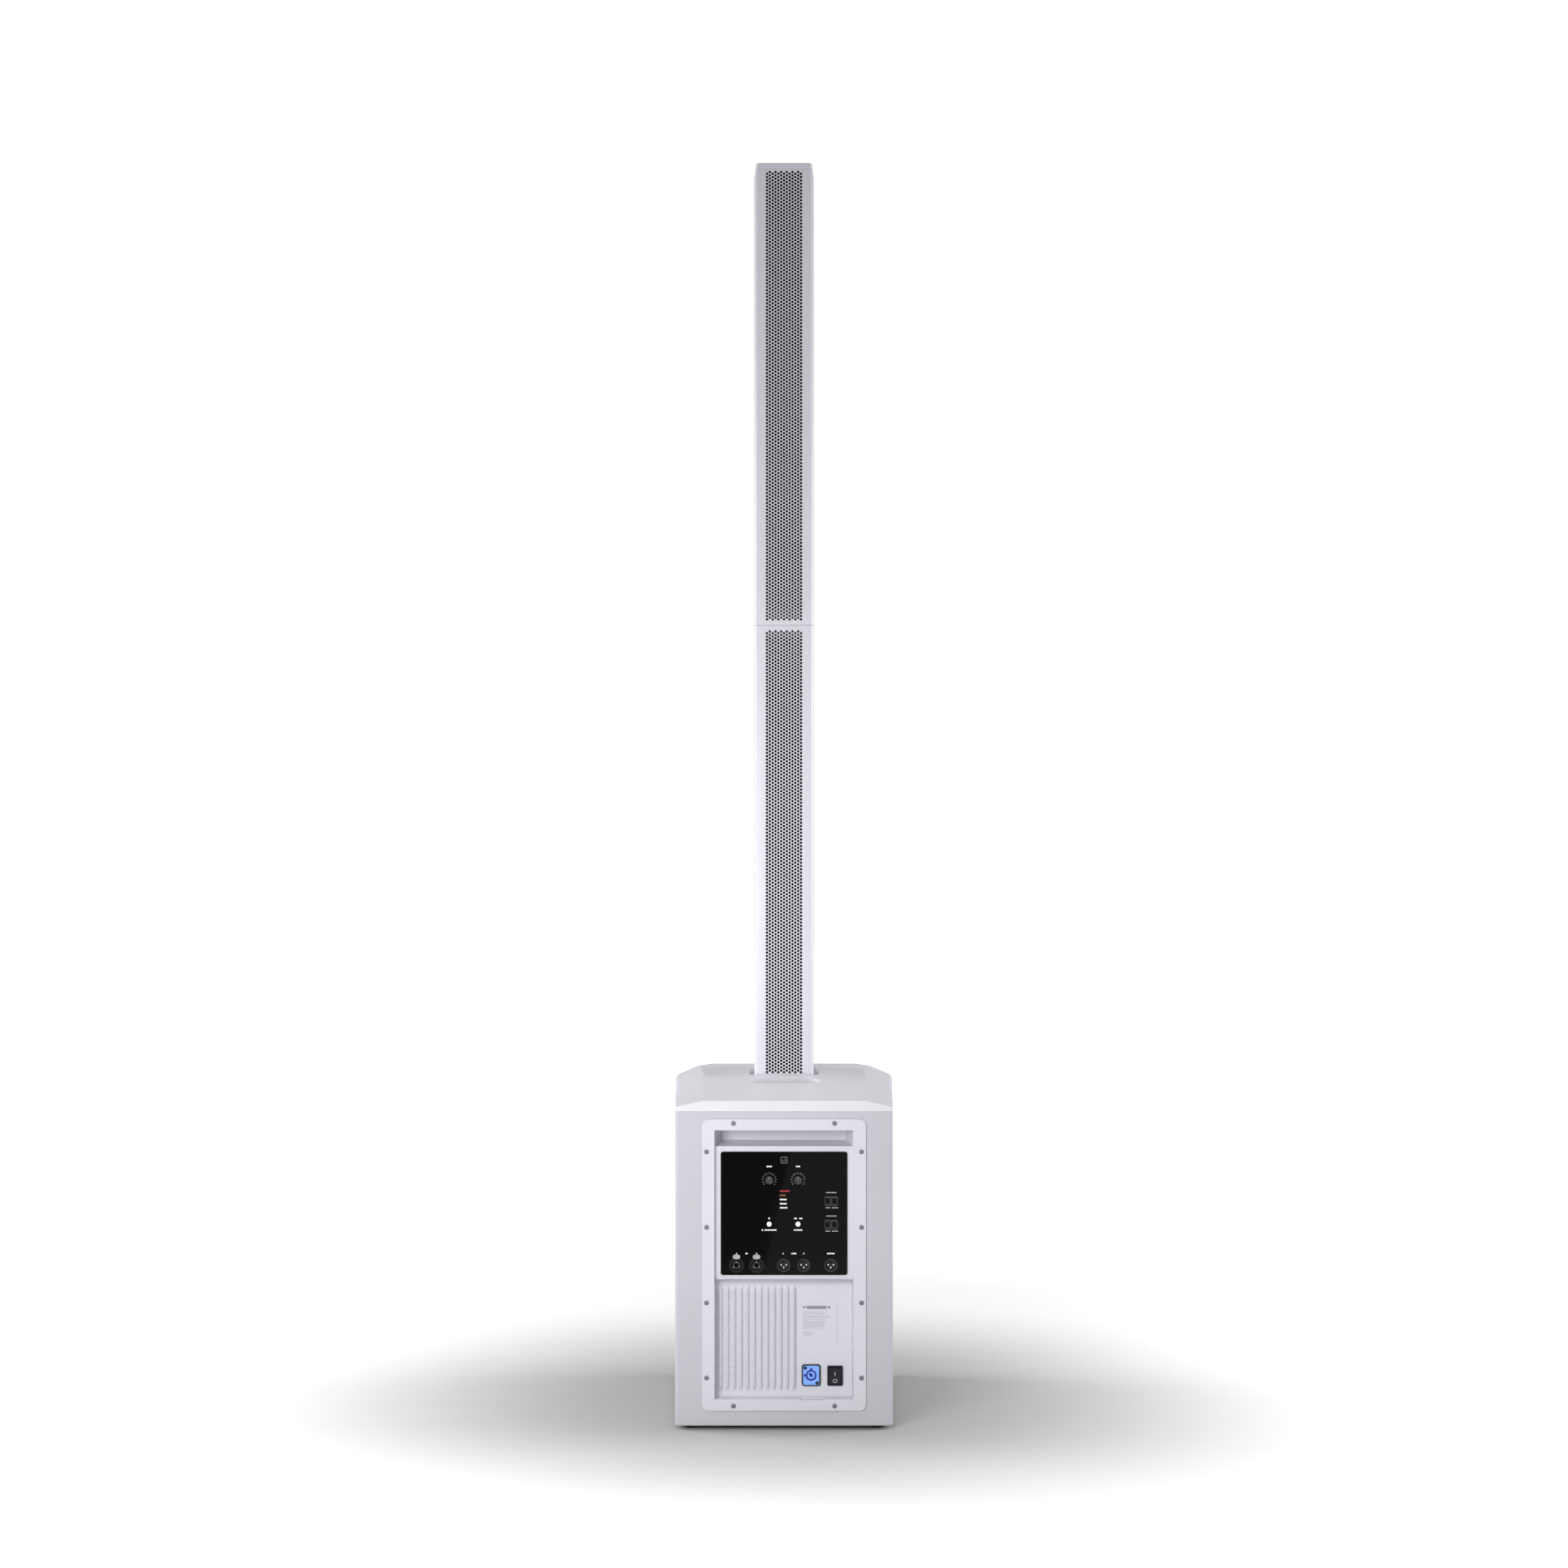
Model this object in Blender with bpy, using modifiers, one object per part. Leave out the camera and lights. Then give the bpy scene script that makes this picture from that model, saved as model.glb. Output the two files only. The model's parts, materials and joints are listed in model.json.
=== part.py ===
"""Column PA system: a subwoofer base with a rear mixer panel and a two-element loudspeaker column.

Metres, +Z up.  The rear (the control panel) faces -Y and the front grille faces +Y.  The origin is
the middle of the object's footprint.  Depths are measured forward from the cabinet's rear face.
"""
import math

import bmesh
import bpy
from mathutils import Matrix, Vector

# ---- overall ----------------------------------------------------------------------------------
KNOB_STANDS_PROUD = 0.0055          # the knobs reach this far behind the rear face
DEPTH = 0.463                       # rear face to front grille
REAR_Y = KNOB_STANDS_PROUD / 2 - DEPTH / 2
GAP = 0.0003                        # between pieces that touch

# ---- cabinet ----------------------------------------------------------------------------------
REAR_HALF_WIDTH = 0.178
FRONT_HALF_WIDTH = 0.1905
FLARE_DEPTH = 0.400                 # where the cabinet is widest
SIDE_END_DEPTH = 0.405
NOSE_HALF_WIDTH = 0.150             # flat of the front grille
FOOT_HEIGHT = 0.006
CAP_SEAM_Z = 0.520
WALL = 0.015
CORNER = 0.006

# ---- top cover --------------------------------------------------------------------------------
CREST_Z = 0.558
CREST_DEPTH = 0.236
REAR_EDGE_Z = 0.5373
CAP_WALL = 0.004
WELL_HALF_WIDTH = 0.060
WELL_DEPTHS = (CREST_DEPTH, 0.372)
WELL_FLOOR_Z = 0.533
GRIP_HALF_WIDTH = 0.0605
GRIP_DEPTHS = (0.158, 0.203)
GRIP_FLOOR_Z = 0.507

# ---- rear plate and its recesses --------------------------------------------------------------
PLATE_HALF_WIDTH = 0.1338
PLATE_Z = (0.0318, 0.5075)
PLATE_PROUD = 0.0025
RECESS_HALF_WIDTH = 0.1136
GRIP_RECESS_Z = (0.4624, 0.4895)
GRIP_RECESS_DEPTH = 0.048
BAND_Z = (0.2457, 0.4624)
BAND_DEPTH = 0.006
SOCKET_RECESS_Z = (0.0505, 0.2457)
SOCKET_RECESS_DEPTH = 0.020
RIB_PITCH = 0.01085
RIB_COUNT = 12
RIB_FIRST_X = -0.1037
RIB_Z = (0.0689, 0.2295)

# ---- control panel ----------------------------------------------------------------------------
PANEL_HALF_WIDTH = 0.1034
PANEL_Z = (0.2524, 0.4539)
PANEL_DEPTH = 0.004                 # its face
PANEL_THICKNESS = 0.0017
KNOBS = {"main_level_knob": (-0.0242, 0.4080), "bass_level_knob": (0.0229, 0.4080)}
BUTTONS = {"pairing_button": (-0.0242, 0.3355), "mode_button": (0.0229, 0.3355)}
LIGHTS = [(0.3897, 0.0160), (0.3828, 0.0089), (0.3758, 0.0110), (0.3689, 0.0110), (0.3623, 0.0120)]
LIGHTS_LEFT_X = -0.0077
COMBOS = {"left_input_latch": -0.0776, "right_input_latch": -0.0448}
SOCKET_ROW_Z = 0.2682
LATCH_Z = 0.2822
OUTPUT_XS = {"left_output_socket": -0.0004, "right_output_socket": 0.0323, "sub_output_socket": 0.0765}
JACK_XS = (0.07175, 0.08295)
JACK_ZS = {"upper_link_jacks": 0.3731, "lower_link_jacks": 0.3348}

# ---- mains inlet and switch -------------------------------------------------------------------
INLET = (0.0445, 0.0860)
INLET_HALF = (0.0154, 0.0177)
SWITCH = (0.08365, 0.0851)
SWITCH_HALF = (0.01275, 0.0165)

# ---- column -----------------------------------------------------------------------------------
COLUMN_DEPTH = 0.242                # its rear face
COLUMN_HALF_WIDTH = 0.051
COLUMN_THICKNESS = 0.122
COLUMN_WALL = 0.003
LOWER_Z = (WELL_FLOOR_Z + GAP, 1.3268)
UPPER_Z = (1.3271, 2.1190)
TAPER_Z = 2.093
CAP_Z = 2.1090
GRILLE_HALF_WIDTH = 0.0315
FRONT_GRILLE_HALF_WIDTH = 0.042
DRIVER_PITCH = 0.140
CONTACT_DEPTH = 0.302

# ---- woofer -----------------------------------------------------------------------------------
WOOFER_Z = 0.205
PORT_X = 0.080
PORT_Z = 0.430
BAFFLE_DEPTHS = (0.380, 0.395)

for leftover in list(bpy.data.objects):
    bpy.data.objects.remove(leftover, do_unlink=True)

PARTS = bpy.data.collections.new("Column PA system")
CUTTERS = bpy.data.collections.new("Cutters")
bpy.context.scene.collection.children.link(PARTS)
bpy.context.scene.collection.children.link(CUTTERS)


# ---- tools ------------------------------------------------------------------------------------
def material(name, colour, roughness, metallic=0.0):
    made = bpy.data.materials.new(name)
    made.use_nodes = True
    shader = made.node_tree.nodes["Principled BSDF"]
    shader.inputs["Base Color"].default_value = (*colour, 1.0)
    shader.inputs["Roughness"].default_value = roughness
    shader.inputs["Metallic"].default_value = metallic
    made.diffuse_color = (*colour, 1.0)
    return made


def mesh_object(name, bm, home=None):
    """A new object from a bmesh, in the parts collection unless another is given."""
    bmesh.ops.recalc_face_normals(bm, faces=bm.faces[:])
    mesh = bpy.data.meshes.new(name)
    bm.to_mesh(mesh)
    bm.free()
    made = bpy.data.objects.new(name, mesh)
    (home or PARTS).objects.link(made)
    if home is CUTTERS:
        made.hide_render = True
        made.display_type = "WIRE"
    return made


def finish(made, surface):
    made.data.materials.clear()
    made.data.materials.append(surface)
    return made


def block(name, xs, depths, zs, radius=0.0, along="Z", segments=3, home=None):
    """A box between two limits on each axis, with its edges along one axis rounded."""
    low = Vector((xs[0], REAR_Y + depths[0], zs[0]))
    high = Vector((xs[1], REAR_Y + depths[1], zs[1]))
    bm = bmesh.new()
    bmesh.ops.create_cube(bm, size=1.0, matrix=Matrix.Diagonal((*(high - low), 1.0)))
    if radius:
        axis = "XYZ".index(along)
        edges = [e for e in bm.edges if abs((e.verts[0].co - e.verts[1].co)[axis]) > 1e-6]
        bmesh.ops.bevel(bm, geom=edges, offset=radius, segments=segments, affect="EDGES", profile=0.5)
    made = mesh_object(name, bm, home)
    made.location = (low + high) / 2
    return made


def prism(name, outline, zs, home=None, bevel_below=0.0):
    """A plan outline of (x, depth) points raised between two heights."""
    bm = bmesh.new()
    base = bm.faces.new([bm.verts.new((x, REAR_Y + depth, zs[0])) for x, depth in outline])
    raised = bmesh.ops.extrude_face_region(bm, geom=[base])
    top = [v for v in raised["geom"] if isinstance(v, bmesh.types.BMVert)]
    bmesh.ops.translate(bm, verts=top, vec=(0, 0, zs[1] - zs[0]))
    if bevel_below:
        edges = [e for e in bm.edges if all(abs(v.co.z - zs[0]) < 1e-6 for v in e.verts)]
        bmesh.ops.bevel(bm, geom=edges, offset=bevel_below, segments=2, affect="EDGES", profile=0.5)
    return mesh_object(name, bm, home)


def loft(name, rings, home=None):
    """A closed solid through rings of points, each ring a list of the same length."""
    bm = bmesh.new()
    rows = [[bm.verts.new(point) for point in ring] for ring in rings]
    for row, following in zip(rows, rows[1:]):
        for i in range(len(row)):
            j = (i + 1) % len(row)
            bm.faces.new((row[i], row[j], following[j], following[i]))
    bm.faces.new(rows[0])
    bm.faces.new(rows[-1])
    return mesh_object(name, bm, home)


def rectangle(x, half, zs, depth):
    """An upright rectangle at a depth, as a ring of points."""
    return [(x + side * half, REAR_Y + depth, z) for side, z in
            ((-1, zs[0]), (1, zs[0]), (1, zs[1]), (-1, zs[1]))]


def turned(name, profile, x, z, depth, forward=False, segments=16, closed_ring=False, home=None):
    """A profile of (radius, height) points turned about an axis that runs to the rear or forward."""
    bm = bmesh.new()
    points = [bm.verts.new((radius, 0.0, height)) for radius, height in profile]
    for first, second in zip(points, points[1:]):
        bm.edges.new((first, second))
    if closed_ring:
        bm.edges.new((points[-1], points[0]))
    made = mesh_object(name, bm, home)
    screw = made.modifiers.new("Turn", "SCREW")
    screw.steps = screw.render_steps = segments
    screw.use_merge_vertices = True
    screw.merge_threshold = 0.00001
    made.rotation_euler = (-math.pi / 2 if forward else math.pi / 2, 0.0, 0.0)
    made.location = (x, REAR_Y + depth, z)
    return made


def upright(made, surface=None):
    """Turn a turned piece so that its axis points up."""
    made.rotation_euler = (0, 0, 0)
    return finish(made, surface) if surface else made


def boolean(target, tool, operation="DIFFERENCE"):
    cut = target.modifiers.new(tool.name, "BOOLEAN")
    cut.operation = operation
    cut.solver = "EXACT"
    cut.object = tool
    return target


def baked(source):
    """The object's shape with its modifiers and its place, as a bmesh."""
    bpy.context.view_layer.update()
    graph = bpy.context.evaluated_depsgraph_get()
    mesh = bpy.data.meshes.new_from_object(source.evaluated_get(graph))
    bm = bmesh.new()
    bm.from_mesh(mesh)
    bmesh.ops.transform(bm, matrix=source.matrix_world, verts=bm.verts)
    bpy.data.meshes.remove(mesh)
    return bm


def group(name, pieces, home=None):
    """Several separate solids as one object, their own objects removed."""
    joined = bmesh.new()
    for piece in pieces:
        bm = baked(piece)
        mesh = bpy.data.meshes.new("piece")
        bm.to_mesh(mesh)
        bm.free()
        joined.from_mesh(mesh)
        bpy.data.meshes.remove(mesh)
        bpy.data.objects.remove(piece)
    return mesh_object(name, joined, home)


def parented(joint_name, pivot, *pieces):
    """Give the pieces that a joint moves an empty on its axis."""
    axis = bpy.data.objects.new(joint_name, None)
    axis.location = pivot
    axis.empty_display_size = 0.02
    PARTS.objects.link(axis)
    bpy.context.view_layer.update()
    for made in pieces:
        made.parent = axis
        made.matrix_parent_inverse = Matrix.Translation(pivot).inverted()


def half_width(depth):
    """Half the cabinet's width at a depth: flared to the front, then drawn in to the nose."""
    if depth <= FLARE_DEPTH:
        return REAR_HALF_WIDTH + (FRONT_HALF_WIDTH - REAR_HALF_WIDTH) * depth / FLARE_DEPTH
    along = (depth - FLARE_DEPTH) / (DEPTH - FLARE_DEPTH)
    return FRONT_HALF_WIDTH + (NOSE_HALF_WIDTH - FRONT_HALF_WIDTH) * along


def mirrored(right):
    """A closed outline from its right half, which is given from the rear to the front."""
    return right + [(-x, y) for x, y in reversed(right) if x > 1e-6]


def screw_places():
    sides = [(x, z) for x in (-0.1265, 0.1265) for z in (0.4545, 0.3312, 0.2080, 0.0855)]
    return sides + [(x, z) for x in (-0.0825, 0.0825) for z in (0.5009, 0.0398)]


WHITE_PAINT = material("white paint", (0.78, 0.78, 0.80), 0.45)
WHITE_PLASTIC = material("white moulding", (0.76, 0.76, 0.78), 0.5)
BLACK_GLOSS = material("black gloss", (0.01, 0.01, 0.012), 0.12)
BLACK_PLASTIC = material("black plastic", (0.02, 0.02, 0.022), 0.45)
GREY_PLASTIC = material("grey plastic", (0.35, 0.35, 0.36), 0.5)
BLUE_PLASTIC = material("blue plastic", (0.15, 0.38, 0.95), 0.4)
STEEL = material("steel", (0.5, 0.5, 0.52), 0.35, 1.0)
BRASS = material("brass", (0.75, 0.6, 0.3), 0.35, 1.0)
FERRITE = material("ferrite", (0.06, 0.06, 0.06), 0.6)
PAPER = material("cone paper", (0.03, 0.03, 0.03), 0.85)
RUBBER = material("rubber", (0.02, 0.02, 0.02), 0.8)
FOAM = material("black foam", (0.01, 0.01, 0.01), 0.95)
BOARD = material("circuit board", (0.02, 0.18, 0.08), 0.5)
ALUMINIUM = material("aluminium", (0.7, 0.7, 0.72), 0.35, 1.0)
WOOD = material("birch plywood", (0.55, 0.4, 0.25), 0.6)
LIGHT = material("light bar", (0.85, 0.85, 0.85), 0.4)


# ---- base: cabinet and top cover --------------------------------------------------------------
def cabinet_outline():
    """Plan of the cabinet's floor: round rear corners, flared sides and a tapered nose."""
    corner = []
    for step in range(4):
        angle = -math.pi / 2 + step * math.pi / 6
        corner.append((REAR_HALF_WIDTH - CORNER * (1 - math.cos(angle)), CORNER * (1 + math.sin(angle))))
    right = corner + [(FRONT_HALF_WIDTH, FLARE_DEPTH), (NOSE_HALF_WIDTH - 0.002, DEPTH - 0.0035)]
    return mirrored(right)


def make_cabinet():
    shell = prism("cabinet_shell", cabinet_outline(), (FOOT_HEIGHT, CAP_SEAM_Z - GAP), bevel_below=0.004)
    inside = [(half_width(WALL) - WALL, WALL), (half_width(FLARE_DEPTH) - WALL, FLARE_DEPTH),
              (half_width(FLARE_DEPTH) - WALL, DEPTH + 0.01)]
    hollow = (FOOT_HEIGHT + WALL, CAP_SEAM_Z - GAP - WALL)
    boolean(shell, prism("cabinet_hollow", mirrored(inside), hollow, CUTTERS))
    boolean(shell, block("nose_cut", (-0.25, 0.25), (SIDE_END_DEPTH, 0.5), (hollow[0], 0.6), home=CUTTERS))
    boolean(shell, block("rear_window", (-0.1195, 0.1195), (-0.01, WALL + 0.005), (0.0455, 0.4955),
                         home=CUTTERS))
    boolean(shell, block("grip_window", (-0.068, 0.068), (0.150, 0.211), (0.49, 0.53), home=CUTTERS))
    boolean(shell, SCREW_HOLES)
    finish(shell, WHITE_PAINT)

    half = half_width(BAFFLE_DEPTHS[0]) - WALL - 0.0008
    baffle = block("front_baffle", (-half, half), BAFFLE_DEPTHS, (hollow[0] + GAP, hollow[1] - GAP))
    boolean(baffle, turned("woofer_hole", [(0, 0.03), (0.1425, 0.03), (0.1425, -0.03), (0, -0.03)],
                           0, WOOFER_Z, BAFFLE_DEPTHS[1], True, 28, home=CUTTERS))
    for side in (-1, 1):
        boolean(baffle, turned(f"port_hole_{side}", [(0, 0.03), (0.0405, 0.03), (0.0405, -0.03), (0, -0.03)],
                               side * PORT_X, PORT_Z, BAFFLE_DEPTHS[1], True, 16, home=CUTTERS))
    finish(baffle, WOOD)

    thick = 0.0015
    folds = mirrored([(NOSE_HALF_WIDTH - 0.001, DEPTH - thick), (FRONT_HALF_WIDTH - thick, SIDE_END_DEPTH + GAP),
                      (FRONT_HALF_WIDTH - 0.0002, SIDE_END_DEPTH + GAP), (NOSE_HALF_WIDTH, DEPTH)])
    finish(prism("sub_grille", folds, (FOOT_HEIGHT + 0.002, CAP_SEAM_Z - GAP)), WHITE_PAINT)

    foot = [(0, 0), (0.012, 0), (0.0105, -FOOT_HEIGHT + GAP), (0.004, -FOOT_HEIGHT + GAP),
            (0.004, -0.003), (0, -0.003)]
    for across, x in (("left", -0.152), ("right", 0.152)):
        for along, depth in (("rear", 0.030), ("front", 0.365)):
            upright(turned(f"{along}_{across}_foot", foot, x, FOOT_HEIGHT - GAP, depth), RUBBER)


def cap_section(depth, inset=0.0, floor=CAP_SEAM_Z):
    """The top cover's section at a depth: a flat top, sloped shoulders and upright sides."""
    rise = CREST_Z - REAR_EDGE_Z
    nose = max(0.0, depth - 0.435) / (DEPTH - 0.435)
    middle = REAR_EDGE_Z + rise * min(1.0, depth / CREST_DEPTH) - 0.010 * nose
    kink_z = REAR_EDGE_Z + rise * min(1.0, depth / 0.290) - 0.010 * nose
    kink_x = 0.1325 + 0.0065 * min(1.0, depth / 0.29) + 0.011 * min(1.0, max(0.0, (depth - 0.29) / 0.11))
    edge_x = half_width(depth)
    kink_x = min(kink_x, edge_x - 0.036)
    edge_z = 0.5274 + 0.0136 * min(1.0, depth / FLARE_DEPTH) - 0.006 * nose
    slope = (kink_z - edge_z) / (edge_x - kink_x)
    right = [(edge_x, floor), (edge_x, edge_z - 0.005), (edge_x - 0.0012, edge_z - 0.0010),
             (edge_x - 0.0050, edge_z + 0.0050 * slope), (kink_x + 0.003, kink_z - 0.003 * slope),
             (kink_x - 0.003, kink_z), (kink_x * 0.6, kink_z + (middle - kink_z) * 0.65), (0.0, middle)]
    right = [(max(0.0, x - inset), z - (inset if z > floor else 0.0)) for x, z in right]
    ring = right + [(-x, z) for x, z in reversed(right[:-1])]
    return [(x, REAR_Y + depth, z) for x, z in ring]


def make_base_cap():
    depths = (0.0, 0.060, 0.120, 0.180, CREST_DEPTH, 0.290, 0.345, FLARE_DEPTH, 0.435, DEPTH)
    cap = loft("base_cap", [cap_section(depth) for depth in depths])
    boolean(cap, block("grip_tub", (-0.065, 0.065), (0.153, 0.208), (GRIP_FLOOR_Z - CAP_WALL, 0.530),
                       home=CUTTERS), "UNION")
    within = (CAP_WALL, *depths[1:-1], DEPTH - CAP_WALL)
    hollow = loft("cap_hollow", [cap_section(depth, CAP_WALL, 0.515) for depth in within], CUTTERS)
    boolean(hollow, block("well_and_grip_core", (-0.065, 0.065), (0.153, 0.377), (0.49, 0.60), home=CUTTERS))
    boolean(cap, hollow)
    well = block("well_cut", (-WELL_HALF_WIDTH, WELL_HALF_WIDTH), WELL_DEPTHS,
                 (WELL_FLOOR_Z, 2 * CREST_Z - WELL_FLOOR_Z), 0.010, home=CUTTERS)
    for vertex in well.data.vertices:
        if vertex.co.z < 0:
            vertex.co.x *= 0.965
            vertex.co.y *= 0.98
    boolean(cap, well)
    boolean(cap, block("grip_cut", (-GRIP_HALF_WIDTH, GRIP_HALF_WIDTH), GRIP_DEPTHS, (GRIP_FLOOR_Z, 0.60),
                       0.020, segments=5, home=CUTTERS))
    finish(cap, WHITE_PLASTIC)


# ---- base: rear plate -------------------------------------------------------------------------
def make_amp_plate():
    plate = block("amp_plate", (-PLATE_HALF_WIDTH, PLATE_HALF_WIDTH), (-PLATE_PROUD, -GAP), PLATE_Z,
                  0.010, "Y")
    tub = block("plate_tub", (-0.1175, 0.1175), (-0.001, 0.0275), (0.0470, 0.4935), home=CUTTERS)
    boolean(tub, block("plate_grip_box", (-0.116, 0.116), (0.020, 0.052), (0.4585, 0.4930), home=CUTTERS),
            "UNION")
    boolean(plate, tub, "UNION")

    boolean(plate, block("band_cut", (-RECESS_HALF_WIDTH, RECESS_HALF_WIDTH), (-0.01, BAND_DEPTH),
                         (BAND_Z[0], GRIP_RECESS_Z[1]), home=CUTTERS))
    boolean(plate, loft("grip_recess_cut", [
        rectangle(0, 0.1128, (GRIP_RECESS_Z[0], GRIP_RECESS_Z[1] - 0.0005), BAND_DEPTH - 0.001),
        rectangle(0, 0.1017, (0.4683, GRIP_RECESS_Z[1] - 0.0005), GRIP_RECESS_DEPTH)], CUTTERS))
    boolean(plate, loft("socket_recess_cut", [
        rectangle(0, RECESS_HALF_WIDTH, SOCKET_RECESS_Z, -0.01),
        rectangle(0, RECESS_HALF_WIDTH, SOCKET_RECESS_Z, -PLATE_PROUD),
        rectangle(0, 0.1110, (0.0514, 0.2440), SOCKET_RECESS_DEPTH)], CUTTERS))
    boolean(plate, block("panel_window", (-0.098, 0.098), (0.0, 0.04), (0.258, 0.4485), home=CUTTERS))
    boolean(plate, block("cable_notch", (0.027, 0.067), (-0.01, 0.012), (0.0490, 0.070), 0.004, "Y",
                         home=CUTTERS))
    boolean(plate, turned("inlet_floor_hole", [(0, 0.02), (0.0116, 0.02), (0.0116, -0.02), (0, -0.02)],
                          *INLET, SOCKET_RECESS_DEPTH, segments=20, home=CUTTERS))
    boolean(plate, block("switch_floor_hole", (SWITCH[0] - 0.0110, SWITCH[0] + 0.0110), (0.01, 0.04),
                         (SWITCH[1] - 0.0151, SWITCH[1] + 0.0151), home=CUTTERS))
    ribs = []
    for number in range(RIB_COUNT):
        x = RIB_FIRST_X + number * RIB_PITCH
        ribs.append(loft("rib", [
            rectangle(x, 0.0030, RIB_Z, SOCKET_RECESS_DEPTH + 0.001),
            rectangle(x, 0.0020, (RIB_Z[0] + 0.002, RIB_Z[1] - 0.002), SOCKET_RECESS_DEPTH - 0.0020),
            rectangle(x, 0.0007, (RIB_Z[0] + 0.005, RIB_Z[1] - 0.005), SOCKET_RECESS_DEPTH - 0.0037)]))
    boolean(plate, group("ribs", ribs, CUTTERS), "UNION")
    boolean(plate, SCREW_HOLES)
    finish(plate, WHITE_PLASTIC)


def make_screw_holes():
    holes = [turned("hole", [(0, 0.01), (0.0022, 0.01), (0.0022, -0.02), (0, -0.02)], x, z, 0.0, segments=6)
             for x, z in screw_places()]
    return group("screw_holes", holes, CUTTERS)


# ---- base: control panel ----------------------------------------------------------------------
def panel_holes():
    """Every opening in the control panel, as one cutter."""
    holes = []

    def round_hole(x, z, radius, segments=16):
        profile = [(0, 0.01), (radius, 0.01), (radius, -0.01), (0, -0.01)]
        holes.append(turned("hole", profile, x, z, PANEL_DEPTH, segments=segments))

    for x, z in KNOBS.values():
        round_hole(x, z, 0.0035, 10)
    for x, z in BUTTONS.values():
        round_hole(x, z, 0.0042)
    for x in COMBOS.values():
        round_hole(x, SOCKET_ROW_Z, 0.0099)
        holes.append(block("hole", (x - 0.0066, x + 0.0066), (-0.01, 0.01),
                           (LATCH_Z - 0.0040, LATCH_Z + 0.0040), 0.0038, "Y"))
    for x in OUTPUT_XS.values():
        round_hole(x, SOCKET_ROW_Z, 0.0105)
    for z in JACK_ZS.values():
        holes.append(block("hole", (JACK_XS[0] - 0.0059, JACK_XS[1] + 0.0059), (-0.01, 0.01),
                           (z - 0.0087, z + 0.0087)))
    for z, width in LIGHTS:
        holes.append(block("hole", (LIGHTS_LEFT_X - GAP, LIGHTS_LEFT_X + width + GAP), (-0.01, 0.01),
                           (z - 0.0013 - GAP, z + 0.0013 + GAP)))
    return group("panel_holes", holes, CUTTERS)


def make_control_panel():
    panel = block("control_panel", (-PANEL_HALF_WIDTH, PANEL_HALF_WIDTH),
                  (PANEL_DEPTH, PANEL_DEPTH + PANEL_THICKNESS), PANEL_Z, 0.0035, "Y")
    boolean(panel, panel_holes())
    finish(panel, BLACK_GLOSS)
    behind = PANEL_DEPTH + PANEL_THICKNESS + GAP
    bars = [block("bar", (LIGHTS_LEFT_X, LIGHTS_LEFT_X + width), (PANEL_DEPTH - 0.0002, behind + 0.001),
                  (z - 0.0013, z + 0.0013)) for z, width in LIGHTS]
    guide = block("level_lights", (LIGHTS_LEFT_X - 0.002, LIGHTS_LEFT_X + 0.018), (behind, behind + 0.002),
                  (LIGHTS[-1][0] - 0.003, LIGHTS[0][0] + 0.003))
    finish(boolean(guide, group("light_bars", bars, CUTTERS), "UNION"), LIGHT)


def make_knobs():
    for name, (x, z) in KNOBS.items():
        knob = turned(name, [(0, 0.0095), (0.0056, 0.0095), (0.0062, 0.0088), (0.00665, 0.0005),
                             (0.0030, 0.0005), (0.0030, -0.0095), (0, -0.0095)], x, z, PANEL_DEPTH)
        boolean(knob, block(name + "_line", (x - 0.0006, x + 0.0006), (-0.006, PANEL_DEPTH - 0.0088),
                            (z + 0.0022, z + 0.0070), home=CUTTERS))
        parented(name + "_axis", (x, REAR_Y + PANEL_DEPTH, z), finish(knob, BLACK_PLASTIC))
        pot = [(0.0075, -0.0022), (0.0075, -0.0105), (0.0033, -0.0105), (0.0033, -0.0022)]
        finish(turned(name.replace("knob", "pot"), pot, x, z, PANEL_DEPTH, segments=12, closed_ring=True),
               STEEL)


def make_buttons():
    profile = [(0, 0.0018), (0.0026, 0.0016), (0.0038, 0.0008), (0.0038, -0.0022), (0.0050, -0.0022),
               (0.0050, -0.0030), (0, -0.0030)]
    for name, (x, z) in BUTTONS.items():
        button = turned(name, profile, x, z, PANEL_DEPTH)
        parented(name + "_axis", (x, REAR_Y + PANEL_DEPTH, z), finish(button, WHITE_PLASTIC))


def make_input_sockets():
    profile = [(0, -0.0150), (0.0034, -0.0150), (0.0034, 0.0), (0.0070, 0.0), (0.0070, -0.0100),
               (0.0088, -0.0100), (0.0088, 0.0012), (0.0101, 0.0012), (0.0101, GAP), (0.0096, GAP),
               (0.0096, -0.0200), (0, -0.0200)]
    for name, x in COMBOS.items():
        finish(turned(name.replace("latch", "socket"), profile, x, SOCKET_ROW_Z, PANEL_DEPTH), BLACK_PLASTIC)
        latch = block(name, (x - 0.00625, x + 0.00625), (PANEL_DEPTH - 0.0022, PANEL_DEPTH + 0.010),
                      (LATCH_Z - 0.0037, LATCH_Z + 0.0037), 0.0035, "Y")
        parented(name + "_axis", (x, REAR_Y + PANEL_DEPTH, LATCH_Z), finish(latch, GREY_PLASTIC))


def make_output_sockets():
    profile = [(0, -0.0120), (0.0086, -0.0120), (0.0086, 0.0012), (0.01065, 0.0012), (0.01065, GAP),
               (0.0102, GAP), (0.0102, -0.0180), (0, -0.0180)]
    pin = [(0, -0.0028), (0.0008, -0.0028), (0.00115, -0.0034), (0.00115, -0.0130), (0, -0.0130)]
    for name, x in OUTPUT_XS.items():
        socket = turned(name, profile, x, SOCKET_ROW_Z, PANEL_DEPTH)
        pins = [turned("pin", pin, x + across, SOCKET_ROW_Z + up, PANEL_DEPTH, segments=8)
                for across, up in ((-0.0043, 0), (0.0043, 0), (0, -0.0043))]
        finish(boolean(socket, group(name + "_pins", pins, CUTTERS), "UNION"), BLACK_PLASTIC)


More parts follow.
